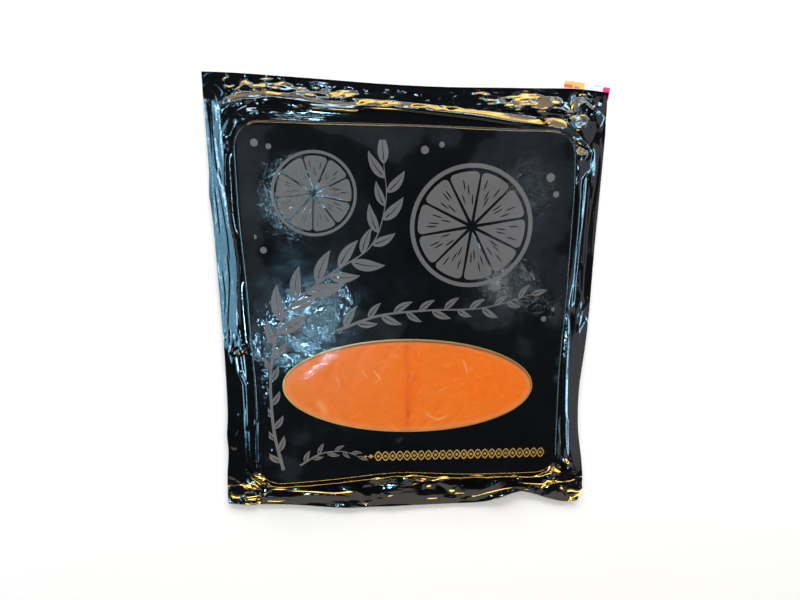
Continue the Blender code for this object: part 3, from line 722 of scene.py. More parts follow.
def drop(x, y, turn, length, width):
    """A thin tear, for the cells in a citrus segment."""
    shape = [(0, 0), (0.35, 0.5), (0.75, 0.42), (1.0, 0.0), (0.75, -0.42), (0.35, -0.5)]
    c, s = math.cos(turn), math.sin(turn)
    return [(x + u * length * c - v * width * s, y + u * length * s + v * width * c) for u, v in shape]


def citrus_wheel(cx, cy, r, count, turn):
    band_ring(cx, cy, r * 0.93, r)
    step = 2 * math.pi / count
    for k in range(count):
        a0 = turn + k * step
        gap = 0.021 + 0.004 * math.sin(3 * k)
        GREY.append(rounded_wedge(cx, cy, r * 0.085, r * 0.875, a0 + gap, a0 + step - gap, r * 0.075))
        for j in range(4):
            at = a0 + step * (0.26 + 0.16 * j + 0.02 * math.sin(5 * k + 3 * j))
            start = r * (0.46 + 0.13 * math.sin(2.3 * k + 1.9 * j))
            BARE.append(drop(cx + start * math.cos(at), cy + start * math.sin(at), at, r * 0.2, r * 0.022))


def ribbon(points, widths):
    """Outline of a stroke along points, with its own width at each."""
    p = np.asarray(points, float)
    d = np.gradient(p, axis=0)
    d /= np.hypot(d[:, 0], d[:, 1])[:, None]
    off = np.stack([-d[:, 1], d[:, 0]], 1) * (np.asarray(widths, float) / 2)[:, None]
    return [tuple(q) for q in p + off] + [tuple(q) for q in (p - off)[::-1]]


def curve(nodes, count):
    """Smooth line through a few nodes (Catmull-Rom)."""
    n = np.asarray(nodes, float)
    n = np.vstack([2 * n[0] - n[1], n, 2 * n[-1] - n[-2]])
    out = []
    for t in np.linspace(0, len(n) - 3 - 1e-6, count):
        i, f = int(t), t - int(t)
        a, b, c, d = n[i : i + 4]
        out.append(0.5 * (2 * b + (c - a) * f + (2 * a - 5 * b + 4 * c - d) * f**2 + (3 * b - a - 3 * c + d) * f**3))
    return np.array(out)


def leaf(x, y, turn, length, width, bend):
    """A pointed leaf with a bare line along its middle."""
    t = np.linspace(0, 1, 15)
    run = turn + bend * (t - 0.25)
    step = np.diff(t, prepend=0.0) * length
    line = np.stack([x + np.cumsum(step * np.cos(run)), y + np.cumsum(step * np.sin(run))], 1)
    half = np.sin(math.pi * t**0.82) ** 0.9 * (1 - 0.18 * t)
    GREY.append(ribbon(line, width * np.maximum(half, 0.02)))
    vein = slice(2, 13)
    BARE.append(ribbon(line[vein], 0.75 * (1.05 - t[vein])))


def branch(nodes, reach, count, turn, stem=2.2):
    """A leafy branch: a tapering stem with a leaf to each side in turn and one at its tip."""
    line = curve(nodes, 130)
    steps = np.concatenate([[0], np.cumsum(np.hypot(*np.diff(line, axis=0).T))])
    total = steps[-1]
    GREY.append(ribbon(line, stem * (1 - 0.8 * steps / total)))
    for k in range(count + 1):
        share = (k + 0.7) / (count + 0.7)
        at = total * share
        x, y = np.interp(at, steps, line[:, 0]), np.interp(at, steps, line[:, 1])
        x0, y0 = np.interp(at - 1.5, steps, line[:, 0]), np.interp(at - 1.5, steps, line[:, 1])
        run = math.atan2(y - y0, x - x0)
        side = (-1) ** k if k < count else 0
        lean = side * (0.72 + 0.14 * math.sin(turn + 2.3 * k))
        size = reach(share) * (1 + 0.1 * math.sin(turn + 1.7 * k))
        leaf(x, y, run + lean, size, size * (0.36 + 0.03 * math.sin(3.1 * k)), -0.55 * side)


citrus_wheel(37.0, 55.0, 37.5, 10, 0.16)
citrus_wheel(-57.0, 75.0, 25.0, 9, 0.45)
branch([(-83, -104), (-88, -72), (-87, -30), (-76, 4), (-50, 26), (-24, 44), (-15, 70), (-16, 92)],
       lambda t: 11.5 + 10.5 * smooth((t - 0.30) / 0.16) * (1 - 0.45 * smooth((t - 0.60) / 0.2)), 27, 1.0)
branch([(-46, -9), (-20, 0), (10, 3), (46, 4), (76, 12)], lambda t: 14.5 - 4.5 * t, 15, 2.0, 1.9)
branch([(-72, -101), (-58, -93), (-44, -92), (-34, -96)], lambda t: 9.5 - 2.5 * t, 7, 3.0, 1.4)
for x, y, r in ((84, 84, 2.6), (88, 74, 1.9), (-90, 104, 2.2), (-82, 102, 1.6), (8, 100, 2.4), (18, 103, 1.7),
                (-88, 42, 2.0), (-93, 50, 1.5), (85, -4, 1.8), (91, 2, 1.4)):
    GREY.append(arc(x, y, r, 0, 2 * math.pi, 19)[:-1])

# a braided gold border line, with a small lozenge at each end
BRAID_X, BRAID_Y, BRAID_TILT = (-23.0, 91.0), -97.0, -0.012
PERIOD, SWING = 9.5, 3.1


def braid_point(x, off):
    return x, BRAID_Y + BRAID_TILT * (x - 34) + off


for phase in (0.0, math.pi):
    xs = np.linspace(*BRAID_X, 190)
    line = [braid_point(x, SWING * math.sin(2 * math.pi * (x - BRAID_X[0]) / PERIOD + phase)) for x in xs]
    GOLD.append(ribbon(line, 0.62 + 0.34 * np.abs(np.sin(2 * math.pi * (xs - BRAID_X[0]) / PERIOD))))
for k in range(24):
    x, y = braid_point(BRAID_X[0] + PERIOD * (0.25 + 0.5 * k), 0)
    GOLD.append([(x - 1.15, y), (x, y - 1.25), (x + 1.15, y), (x, y + 1.25)])
for end, way in ((BRAID_X[0], -1), (BRAID_X[1], 1)):
    for out_, size in ((2.6, 1.9), (6.0, 1.2)):
        x, y = braid_point(end + way * out_, 0)
        GOLD.append([(x - size, y), (x, y - size * 0.8), (x + size, y), (x, y + size * 0.8)])


def oval(grow, count=260):
    a, b = WINDOW_H[0] + grow, WINDOW_H[1] + grow
    c, s = math.cos(WINDOW_T), math.sin(WINDOW_T)
    out = []
    for t in np.linspace(0, 2 * math.pi, count + 1)[:-1]:
        u, v = a * math.cos(t), b * math.sin(t)
        out.append((WINDOW_C[0] + u * c - v * s, WINDOW_C[1] + u * s + v * c))
    return out


OVAL_IN, OVAL_OUT = oval(0.0), oval(0.95)

# =====================================================================================
# Front: the grid, cut along every printed outline and the window
# =====================================================================================
inside = (np.abs(NXF) <= RX + 1e-6) & (np.abs(NYF) <= RY + 1e-6)
core = np.nonzero(inside)[0]
where = {int(g): i for i, g in enumerate(core)}
points = [Vector((float(PX[g]), float(PY[g]))) for g in core]
i0, i1 = np.nonzero(np.abs(gx) <= RX + 1e-6)[0][[0, -1]]
j0, j1 = np.nonzero(np.abs(gy) <= RY + 1e-6)[0][[0, -1]]
loop = [j0 * nx + i for i in range(i0, i1)] + [j * nx + i1 for j in range(j0, j1)]
loop += [j1 * nx + i for i in range(i1, i0, -1)] + [j * nx + i0 for j in range(j1, j0, -1)]
polys, kinds = [[where[int(g)] for g in loop]], ["field"]
for kind, outlines in (("grey", GREY), ("bare", BARE), ("gold", GOLD), ("rim", [OVAL_OUT]), ("window", [OVAL_IN])):
    for outline in outlines:
        area = sum(a[0] * b[1] - b[0] * a[1] for a, b in zip(outline, outline[1:] + outline[:1]))
        outline = outline if area > 0 else outline[::-1]
        start = len(points)
        points += [Vector((float(a), float(b))) for a, b in outline]
        polys.append(list(range(start, len(points))))
        kinds.append(kind)
cv, _, cf, c_orig, _, f_orig = delaunay_2d_cdt(points, [], polys, 0, 1e-4, True)

front_verts = [np.stack([PX, PY, PZ], 1)]
place = np.empty(len(cv), np.int64)
fresh = []
for k, origins in enumerate(c_orig):
    grid_ones = [o for o in origins if o < len(core)]
    if grid_ones:
        place[k] = core[grid_ones[0]]
    else:
        place[k] = len(NXF) + len(fresh)
        fresh.append((cv[k].x, cv[k].y))
fresh = np.array(fresh)
front_verts.append(np.column_stack([fresh, film_height(fresh[:, 0], fresh[:, 1])]))
front_verts = np.concatenate(front_verts)

cell = (np.arange(ny - 1)[:, None] * nx + np.arange(nx - 1)[None, :])
ci, cj = np.meshgrid(np.arange(nx - 1), np.arange(ny - 1))
outer_cells = cell[~((ci >= i0) & (ci < i1) & (cj >= j0) & (cj < j1))]
ring_tris = np.concatenate([
    np.stack([outer_cells, outer_cells + 1, outer_cells + nx + 1], 1),
    np.stack([outer_cells, outer_cells + nx + 1, outer_cells + nx], 1),
])
face_tris, face_mat, window_tris = [], [], []
for tri, origins in zip(cf, f_orig):
    tags = {kinds[o] for o in origins}
    if "field" not in tags:
        continue
    tri = [int(place[v]) for v in tri]
    if len(set(tri)) < 3:
        continue
    if "window" in tags:
        window_tris.append(tri)
        continue
    face_tris.append(tri)
    if "rim" in tags or "gold" in tags:
        face_mat.append(2)
    elif "grey" in tags and "bare" not in tags:
        face_mat.append(1)
    else:
        face_mat.append(0)


def up_facing(verts, tris):
    a, b, c = (verts[tris[:, k], :2] for k in range(3))
    turn = (b[:, 0] - a[:, 0]) * (c[:, 1] - a[:, 1]) - (b[:, 1] - a[:, 1]) * (c[:, 0] - a[:, 0])
    out = tris.copy()
    out[turn < 0] = out[turn < 0][:, ::-1]
    return out


def new_mesh(name, verts_mm, faces, mats=None):
    mesh = bpy.data.meshes.new(name)
    mesh.from_pydata((np.asarray(verts_mm) * MM).tolist(), [], [tuple(map(int, f)) for f in faces])
    mesh.shade_smooth()
    if mats is not None:
        mesh.polygons.foreach_set("material_index", np.asarray(mats, np.int32))
    mesh.update()
    obj = bpy.data.objects.new(name, mesh)
    bpy.context.scene.collection.objects.link(obj)
    return obj


def paint(obj, name, values):
    """A value at each point of a mesh, for its material to read."""
    layer = obj.data.attributes.new(name, "FLOAT", "POINT")
    layer.data.foreach_set("value", np.asarray(values, np.float32))


def normals_of(verts, tris):
    """Area-weighted normal of each vertex."""
    a, b, c = (verts[tris[:, k]] for k in range(3))
    n = np.cross(b - a, c - a)
    out = np.zeros_like(verts)
    for k in range(3):
        np.add.at(out, tris[:, k], n)
    return out / (np.linalg.norm(out, axis=1)[:, None] + 1e-12)


face_tris = up_facing(front_verts, np.array(face_tris))
window_tris = up_facing(front_verts, np.array(window_tris))
ring_tris = up_facing(front_verts, ring_tris)
whole = normals_of(front_verts, np.concatenate([face_tris, window_tris, ring_tris]))
foot = np.nonzero((S > 0.5) & (S < 1.15))[0]  # the crease at the foot of the step stays sharp
whole[foot] = (0.0, 0.0, 1.0)


def sheet(name, tris, mats=None):
    """One part of the front; all parts share their normals where they meet."""
    used, index = np.unique(tris, return_inverse=True)
    obj = new_mesh(name, front_verts[used], index.reshape(tris.shape), mats)
    obj.data.normals_split_custom_set_from_vertices([tuple(n) for n in whole[used]])
    return obj, front_verts[used]


film_face, face_pts = sheet("film_face", face_tris, face_mat)
film_flange, flange_pts = sheet("film_flange", ring_tris)
window_clear, window_pts = sheet("window_clear", window_tris)
print("film_face", len(face_tris), "film_flange", len(ring_tris), "window", len(window_tris))

# =====================================================================================
# Back sheet, and the cut edge that joins it to the front
# =====================================================================================
bi = np.unique(np.concatenate([np.arange(0, nx, 3), [nx - 1]]))
bj = np.unique(np.concatenate([np.arange(0, ny, 3), [ny - 1]]))
BI, BJ = np.meshgrid(bi, bj)
pick = (BJ * nx + BI).ravel()
bx, by, bs, bw = PX[pick], PY[pick], S[pick], W[pick]
under = PZ[pick] - FILM
flat = 0.0 + 0.35 * smooth((bs - 2.0) / 5.0) + 0.25 * facets(bx, by, 9.0, 97, tilt=0.5) * smooth((bs - 1.0) / 3.0) * (1 - smooth((bs - 5) / 4))
flat = flat + 0.09 * (ridged(bx / 26, by / 26, 3, 101) - 0.45) * smooth((-bs + 2) / 10)
back_z = mix(np.maximum(flat, 0.0), under, smooth((bs - 5.4) / 3.0))
back_z = np.clip(np.minimum(back_z, under), 0.0, None)
bn = len(bi)
bc = (np.arange(len(bj) - 1)[:, None] * bn + np.arange(bn - 1)[None, :]).ravel()
back_faces = [(a, a + bn, a + bn + 1, a + 1) for a in bc]
back_verts = list(np.stack([bx, by, back_z], 1))
# rim strip: front boundary at full detail down to the back sheet's level
edge_run = [i for i in range(nx - 1)] + [j * nx + nx - 1 for j in range(ny - 1)]
edge_run += [(ny - 1) * nx + i for i in range(nx - 1, 0, -1)] + [j * nx for j in range(ny - 1, 0, -1)]
start = len(back_verts)
for g in edge_run:
    back_verts.append(np.array([PX[g], PY[g], PZ[g]]))
    back_verts.append(np.array([PX[g], PY[g], max(PZ[g] - FILM, 0.0)]))
n_run = len(edge_run)
for k in range(n_run):
    a, b = start + 2 * k, start + 2 * ((k + 1) % n_run)
    back_faces.append((a, a + 1, b + 1, b))
film_back = new_mesh("film_back", np.array(back_verts), back_faces)

# =====================================================================================
# The slices of salmon: a detailed top under the window, closed forms below
# =====================================================================================
def salmon_piece(name, side):
    """One of the two slices; side is -1 (left) or 1 (right)."""
    reach, gap = PHX - 1.5, 0.005
    if side < 0:
        xs = np.concatenate([np.linspace(-reach, -84, 7)[:-1], np.linspace(-84, SEAM_X - gap, 118)])
    else:
        xs = np.concatenate([np.linspace(SEAM_X + gap, 84, 118), np.linspace(84, reach, 7)[1:]])
    ys = np.concatenate([
        np.linspace(-(PHY - 1.5), -82, 12)[:-1], np.linspace(-82, -12, 100), np.linspace(-12, PHY - 1.5, 40)[1:]
    ])
    X, Y = np.meshgrid(xs, ys)
    away = np.abs(X - SEAM_X)
    X = X + (1 - smooth(away / 14)) * (0.5 * np.sin(Y / 11 + 0.5) + 0.2 * np.sin(Y / 4.1))
    x, y, s, _ = plan(X.ravel(), Y.ravel())
    z = TOP + crown(X.ravel(), Y.ravel()) - 0.42
    away = away.ravel()
    z -= 0.10 * (1 - smooth(away / 3.4)) ** 2
    # soft steps between flakes of muscle and a fine moist grain
    flake = x / 15.0 * side + ((y + 47) / 40.0) ** 2 * 1.7 + 0.35 * noise(x / 24, y / 24, 7)
    z -= 0.09 * np.abs(np.sin(math.pi * flake)) ** 10
    z -= 0.05 * np.maximum(ridged(x / 17, y / 13, 2, 15 + side) - 0.62, 0) / 0.38
    z += 0.05 * fbm(x / 5.5, y / 5.5, 2, 19)
    z -= 1.4 * smooth((s + 5.5) / 4.0) ** 2
    for dx, dy in ((0, 0), (1.8, 0), (-1.8, 0), (0, 1.8), (0, -1.8), (1.4, 1.4), (1.4, -1.4), (-1.4, 1.4), (-1.4, -1.4)):
        z = np.minimum(z, film_height(x + dx, y + dy) - 0.3 - 0.6 * smooth((s + 5.5) / 4.0))
    n, m = len(xs), len(ys)
    c = (np.arange(m - 1)[:, None] * n + np.arange(n - 1)[None, :]).ravel()
    faces = [(a, a + 1, a + n + 1, a + n) for a in c]
    verts = list(np.stack([x, y, z], 1))
    run = [i for i in range(n - 1)] + [j * n + n - 1 for j in range(m - 1)]
    run += [(m - 1) * n + i for i in range(n - 1, 0, -1)] + [j * n for j in range(m - 1, 0, -1)]
    low = len(verts)
    for g in run:
        verts.append(np.array([x[g], y[g], 1.1]))
    k = len(run)
    for i in range(k):
        faces.append((run[i], low + i, low + (i + 1) % k, run[(i + 1) % k]))
    middle = len(verts)
    verts.append(np.array([x.mean(), 0.0, 1.1]))
    for i in range(k):
        faces.append((middle, low + (i + 1) % k, low + i))
    obj = new_mesh(name, np.array(verts), faces)
    # a crisp arris, so that the top keeps its own shading up to the seam
    arris = {(min(p, q), max(p, q)) for p, q in zip(run, run[1:] + run[:1])}
    for edge in obj.data.edges:
        if tuple(sorted(edge.vertices)) in arris:
            edge.use_edge_sharp = True
    return obj


salmon_left = salmon_piece("salmon_left", -1)
salmon_right = salmon_piece("salmon_right", 1)

# =====================================================================================
# Painted values that the materials read
# =====================================================================================
def film_paint(obj, verts):
    x, y = verts[:, 0], verts[:, 1]
    crinkle = (
        1.0 * blob(x, y, -70, -8, 25, 11, 32)
        + 0.9 * blob(x, y, -50, 6, 9, 17, -20)
        + 0.55 * blob(x, y, -84, -20, 10, 12)
        + 0.75 * blob(x, y, -72, 70, 13, 17, 15)
        + 0.3 * blob(x, y, -93, -52, 6, 34)
        + 0.55 * blob(x, y, 74, 79, 9, 16, 20)
        + 0.5 * blob(x, y, 72, 17, 27, 7, -43)
        + 0.35 * blob(x, y, 97, -30, 5, 34)
        + 0.25 * blob(x, y, 0, -86, 34, 6)
        + 0.6 * blob(x, y, -57, -34, 17, 3.2, 38)
    )
    crinkle *= 0.8 + 1.5 * fbm(x / 9, y / 9, 3, 203)
    crinkle += 0.22 * smooth((-x - 104) / 4) * smooth((y + 24) / 10)
    paint(obj, "crinkle", np.clip(crinkle, 0.0, 1.2) + 0.06)
    # Painted reflection: over these soft patches the black film's colour is lightened towards a blue-grey, where it
    # would mirror the room.
    warp = 7 * fbm(x / 22, y / 22, 2, 211)
    field = (
        0.6 * blob(x, y, -94 + warp, 78, 15, 60)
        + 0.8 * blob(x, y, -28, 112 + 0.5 * warp, 50, 12, -12)
        + 0.55 * blob(x, y, 78, 60 + warp, 38, 62)
        + 0.45 * blob(x, y, -66, -4, 42, 34)
        + 0.35 * blob(x, y, 20, -2, 50, 16)
        + 0.3 * blob(x, y, -70, -100, 32, 12)
        + 0.25
        - 0.75 * blob(x, y, -48, 92, 26, 18, -18)
        - 0.45 * blob(x, y, 10, 20, 22, 30)
        - 0.25 * blob(x, y, 20, -90, 70, 12)
    )
    field += 0.45 * fbm(x / 30, y / 30, 3, 217)
    sheen_amount = 0.15 * np.clip(field, 0, 1) + 0.75 * smooth((field - 0.44) / 0.12) * np.clip(field, 0.3, 1)
    edge = smooth((PHX + 1.0 - np.abs(x)) / 1.5) * smooth((PHY + 1.0 - np.abs(y)) / 1.5)
    paint(obj, "painted_sheen", np.clip(sheen_amount * edge, 0, 1))


film_paint(film_face, face_pts)
film_paint(film_flange, flange_pts)
film_paint(window_clear, window_pts)
back_array = np.array(back_verts)
paint(film_back, "crinkle", 0.12 + 0.3 * smooth((np.abs(back_array[:, 0]) - 88) / 10) + 0.3 * smooth((np.abs(back_array[:, 1]) - 102) / 10))
# The back gets the same painted reflection, as a loose mottle.
paint(film_back, "painted_sheen", 0.25 + 0.5 * np.clip(fbm(back_array[:, 0] / 34, back_array[:, 1] / 34, 3, 223), 0, 1))


def strokes(x, y, marks):
    """Soft lines through marks on the window: (points, width, strength)."""
    total = np.zeros(len(x))
    for line, width, strength in marks:
        one = np.zeros(len(x))
        crease(one, x, y, line, 8.0, strength, width, width, 0.35)
        total = np.maximum(total, one)
    return total


def salmon_paint(obj):
    v = np.empty(len(obj.data.vertices) * 3, np.float32)
    obj.data.vertices.foreach_get("co", v)
    v = v.reshape(-1, 3) / MM
    x, y = v[:, 0], v[:, 1]
    deep = (
        0.55 * blob(x, y, 52, -50, 30, 24)
        + 0.5 * blob(x, y, 44, -53.5, 9, 5.5)
        + 0.9 * blob(x, y, SEAM_X + 1, -50, 8, 26)
        + 0.3 * blob(x, y, 8, -27, 9, 5)
        + 0.25 * blob(x, y, -38, -50, 6, 5)
        - 0.9 * blob(x, y, -72, -50, 20, 22)
        - 0.25 * blob(x, y, -30, -35, 20, 16)
        + 0.35 * fbm(x / 16, y / 13, 3, 231)
    )
    paint(obj, "deep", np.clip(deep * 0.5 + 0.5, 0, 1))
    # Paler fat lines in the flesh, and one painted highlight.
    pale = strokes(x, y, [
        ([(-31, -35), (-29, -38.6), (-26.7, -42.4)], 0.7, 0.55),
        ([(-24.3, -35), (-20.6, -39.5), (-18.2, -44.8)], 0.9, 0.6),
        ([(5.5, -22.5), (5.6, -26.8)], 0.5, 0.7),
        ([(33.4, -29), (36.0, -34.6), (37.6, -41)], 0.8, 0.6),
        ([(8.5, -63), (12.6, -68.5), (18, -71.5), (22.6, -70), (26.7, -66)], 1.1, 0.45),
        ([(3.0, -36.5), (1.0, -41), (-0.4, -46)], 0.6, 0.4),
        # a broad painted highlight, where the film over the salmon catches the light
        ([(-60, -54), (-56.6, -60), (-53, -67)], 3.2, 0.35),
        ([(18, -52), (22, -50), (24.6, -49)], 0.9, 0.3),
        ([(-48, -38), (-45.6, -44), (-45, -50)], 1.2, 0.25),
        ([(-22.5, -45), (-20.2, -42.6)], 0.6, 0.5),
    ])
    paint(obj, "pale", pale)
    # Painted shade along the seam between the two slices, deeper towards the bottom and in one small gap; a few more
    # darker spots.
    seam = np.abs(x - SEAM_X - 0.5 * np.sin(y / 11 + 0.5) - 0.2 * np.sin(y / 4.1))
    dark = 0.6 * np.exp(-((seam / 2.5) ** 2)) * (0.7 + 0.6 * fbm(x / 6, y / 6, 2, 237)) * (0.55 + 0.45 * smooth((-y - 30) / 30))
    dark += 0.75 * blob(x, y, SEAM_X, -67.9, 0.9, 2.4)
    dark += 0.35 * blob(x, y, SEAM_X + 3.5, -42, 3.0, 2.2) + 0.2 * blob(x, y, -43, -46, 2.5, 3.5)
    paint(obj, "dark", np.clip(dark, 0, 1))
    dx, dy = x - WINDOW_C[0], y - WINDOW_C[1]
    u = dx * math.cos(WINDOW_T) + dy * math.sin(WINDOW_T)
    w = -dx * math.sin(WINDOW_T) + dy * math.cos(WINDOW_T)
    a, b = WINDOW_H
    f = (u / a) ** 2 + (w / b) ** 2
    d = (1 - f) / (2 * np.sqrt((u / a**2) ** 2 + (w / b**2) ** 2) + 1e-6)
    paint(obj, "rim", smooth((4.2 - d) / 3.6))
    # painted shadow of the film's edge, along the window's upper side
    paint(obj, "rim_top_shadow", smooth((1.9 - d) / 1.0) * smooth((w / b - 0.1) / 0.4))


salmon_paint(salmon_left)
salmon_paint(salmon_right)


# =====================================================================================
# Materials
# =====================================================================================
class Nodes:
    """Short names for building one material's nodes."""

    def __init__(self, name):
        self.mat = bpy.data.materials.new(name)
        self.mat.use_nodes = True
        self.tree = self.mat.node_tree
        self.shader = self.tree.nodes["Principled BSDF"]
        self.coord = self.tree.nodes.new("ShaderNodeTexCoord").outputs["Object"]

    def put(self, socket, value):
        if isinstance(value, bpy.types.NodeSocket):
            self.tree.links.new(value, socket)
        elif socket.type == "RGBA" and len(value) == 3:
            socket.default_value = (*value, 1.0)
        else:
            socket.default_value = value

    def math(self, op, a, b=0.0, clamp=False):
        n = self.tree.nodes.new("ShaderNodeMath")
        n.operation = op
        n.use_clamp = clamp
        self.put(n.inputs[0], a)
        self.put(n.inputs[1], b)
        return n.outputs[0]

    def vector(self, op, a, b=None):
        n = self.tree.nodes.new("ShaderNodeVectorMath")
        n.operation = op
        self.put(n.inputs[0], a)
        if b is not None:
            self.put(n.inputs["Scale" if op == "SCALE" else 1], b)
        return n.outputs[0]

    def ramp(self, value, lo, hi, to_lo=0.0, to_hi=1.0):
        n = self.tree.nodes.new("ShaderNodeMapRange")
        n.interpolation_type = "SMOOTHSTEP"
        self.put(n.inputs["Value"], value)
        for key, v in (("From Min", lo), ("From Max", hi), ("To Min", to_lo), ("To Max", to_hi)):
            self.put(n.inputs[key], v)
        return n.outputs["Result"]

    def blend(self, a, b, factor):
        n = self.tree.nodes.new("ShaderNodeMix")
        n.data_type = "RGBA"
        self.put(n.inputs["Factor"], factor)
        self.put(n.inputs[6], a)
        self.put(n.inputs[7], b)
        return n.outputs[2]

    def value(self, name):
        n = self.tree.nodes.new("ShaderNodeAttribute")
        n.attribute_name = name
        return n.outputs["Fac"]

    def place(self, scale=(1, 1, 1), turn=0.0):
        n = self.tree.nodes.new("ShaderNodeMapping")
        self.put(n.inputs["Vector"], self.coord)
        n.inputs["Scale"].default_value = scale
        n.inputs["Rotation"].default_value = (0, 0, turn)
        return n.outputs["Vector"]

    def noise(self, scale, detail=2.0, rough=0.5, distortion=0.0, vector=None):
        n = self.tree.nodes.new("ShaderNodeTexNoise")
        self.put(n.inputs["Vector"], vector or self.coord)
        n.inputs["Scale"].default_value = scale
        n.inputs["Detail"].default_value = detail
        n.inputs["Roughness"].default_value = rough
        n.inputs["Distortion"].default_value = distortion
        return n.outputs["Fac"]

    def cracks(self, scale, vector=None, feature="DISTANCE_TO_EDGE"):
        n = self.tree.nodes.new("ShaderNodeTexVoronoi")
        n.feature = feature
        self.put(n.inputs["Vector"], vector or self.coord)
        n.inputs["Scale"].default_value = scale
        return n.outputs["Distance"]

    def bump(self, height, distance, strength=1.0, normal=None):
        n = self.tree.nodes.new("ShaderNodeBump")
        n.inputs["Strength"].default_value = strength
        n.inputs["Distance"].default_value = distance
        self.put(n.inputs["Height"], height)
        if normal:
            self.put(n.inputs["Normal"], normal)
        return n.outputs["Normal"]

    def set(self, **sockets):
        for key, v in sockets.items():
            self.put(self.shader.inputs[key.replace("_", " ")], v)
        return self.mat


def film_relief(n):
    """Crinkles where the film has been handled, and a faint unevenness everywhere."""
    crinkle = n.value("crinkle")
    fine = n.noise(1000.0, 3.0, 0.6, 0.6)
    creased = n.math("SUBTRACT", 1.0, n.math("ABSOLUTE", n.math("MULTIPLY", n.math("SUBTRACT", n.noise(430.0, 2.0, 0.5, 0.4), 0.5), 5.0)))
    broad = n.math("MULTIPLY", n.noise(260.0, 2.0, 0.5, 0.8), 0.3)
    tall = n.math("ADD", n.math("ADD", n.math("MULTIPLY", fine, 0.14), n.math("MULTIPLY", creased, 0.07)), broad)
    height = n.math("MULTIPLY", tall, crinkle)
    calm = n.math("MULTIPLY", n.noise(75.0, 2.0, 0.5), 0.07)
    grain = n.math("MULTIPLY", n.noise(1500.0, 1.0, 0.5), 0.004)
    # small flat facets, each with its own tilt, as in film that has been crushed and pulled out again
    normal = n.tree.nodes.new("ShaderNodeNewGeometry").outputs["Normal"]
    for scale, tilt in ((1050.0, 0.13), (420.0, 0.08)):
        cell = n.tree.nodes.new("ShaderNodeTexVoronoi")
        n.put(cell.inputs["Vector"], n.coord)
        cell.inputs["Scale"].default_value = scale
        aside = n.vector("SUBTRACT", cell.outputs["Color"], (0.5, 0.5, 0.5))
        normal = n.vector("ADD", normal, n.vector("SCALE", aside, n.math("MULTIPLY", crinkle, tilt)))
    normal = n.vector("NORMALIZE", normal)
    return n.bump(n.math("ADD", n.math("ADD", height, calm), grain), 0.001, 1.0, normal)


def film_material(name, colour, sheen_colour, rough, metallic=0.0, shine=0.5, window_reflection=0.8):
    n = Nodes(name)
    # Painted reflection: the base colour is mixed towards the lighter second colour by the painted sheen value.
    sheen_mix = n.math("MULTIPLY", n.value("painted_sheen"), n.ramp(n.noise(120.0, 4.0, 0.6), 0.25, 0.75, 0.7, 1.15))
    base = n.blend(colour, sheen_colour, sheen_mix)
    # Painted glints: bright specks where the film is crinkled.
    glint_specks = n.math("MULTIPLY", n.ramp(n.noise(900.0, 2.0, 0.6), 0.60, 0.72), n.math("MULTIPLY", n.value("crinkle"), 0.35))
    base = n.blend(base, tuple(min(1.0, c * 3.2 + 0.03) for c in colour), glint_specks)
    # Painted reflection of the blue window light over the crinkled patches.
    base = n.blend(base, (0.045, 0.075, 0.092), n.math("MULTIPLY", n.ramp(n.value("crinkle"), 0.25, 0.9), window_reflection))
    roughness = n.ramp(n.noise(55.0, 3.0, 0.6), 0.3, 0.75, rough, rough + 0.07)
    n.shader.inputs["Specular IOR Level"].default_value = shine
    return n.set(Base_Color=base, Roughness=roughness, Metallic=metallic, Normal=film_relief(n))


# The second colour of each film is its painted reflection colour.
black = film_material("black_film", (0.0038, 0.0042, 0.0052), (0.021, 0.025, 0.031), 0.06)
grey_ink = film_material("grey_print", (0.092, 0.086, 0.086), (0.112, 0.110, 0.116), 0.42, 0.0, 0.3, 0.0)
gold_ink = film_material("gold_print", (0.38, 0.235, 0.05), (0.44, 0.29, 0.08), 0.3, 0.35, 0.5, 0.0)
for mat in (black, grey_ink, gold_ink):
    film_face.data.materials.append(mat)
film_flange.data.materials.append(black)
film_back.data.materials.append(black)

n = Nodes("clear_film")
clear = n.set(
    Base_Color=n.blend((0.96, 0.97, 1.0), (0.90, 0.93, 0.97), n.noise(90.0, 2.0)),
    Metallic=1.0,
    Roughness=n.ramp(n.noise(55.0, 3.0, 0.6), 0.3, 0.75, 0.06, 0.14),
    Alpha=0.035,
    Normal=film_relief(n),
)
window_clear.data.materials.append(clear)

n = Nodes("smoked_salmon")
soft = n.noise(60.0, 4.0, 0.55, 0.3)
base = n.blend((0.735, 0.180, 0.017), (0.83, 0.150, 0.0025), n.math("ADD", n.math("MULTIPLY", n.value("deep"), 1.0), n.math("MULTIPLY", n.math("SUBTRACT", soft, 0.5), 0.35), True))
flesh = n.place((1.0, 2.6, 1.0), 0.5)
marbling = n.ramp(n.noise(150.0, 4.0, 0.6, 0.8, flesh), 0.56, 0.74)
base = n.blend(base, (0.95, 0.42, 0.15), n.math("MULTIPLY", marbling, 0.16))
# paler fat lines, and one broad painted highlight
base = n.blend(base, (0.98, 0.55, 0.26), n.value("pale"))
# painted shade at the seam, and a few darker spots
base = n.blend(base, (0.62, 0.085, 0.004), n.value("dark"))
base = n.blend(base, (0.74, 0.25, 0.085), n.math("MULTIPLY", n.value("rim"), 0.6))
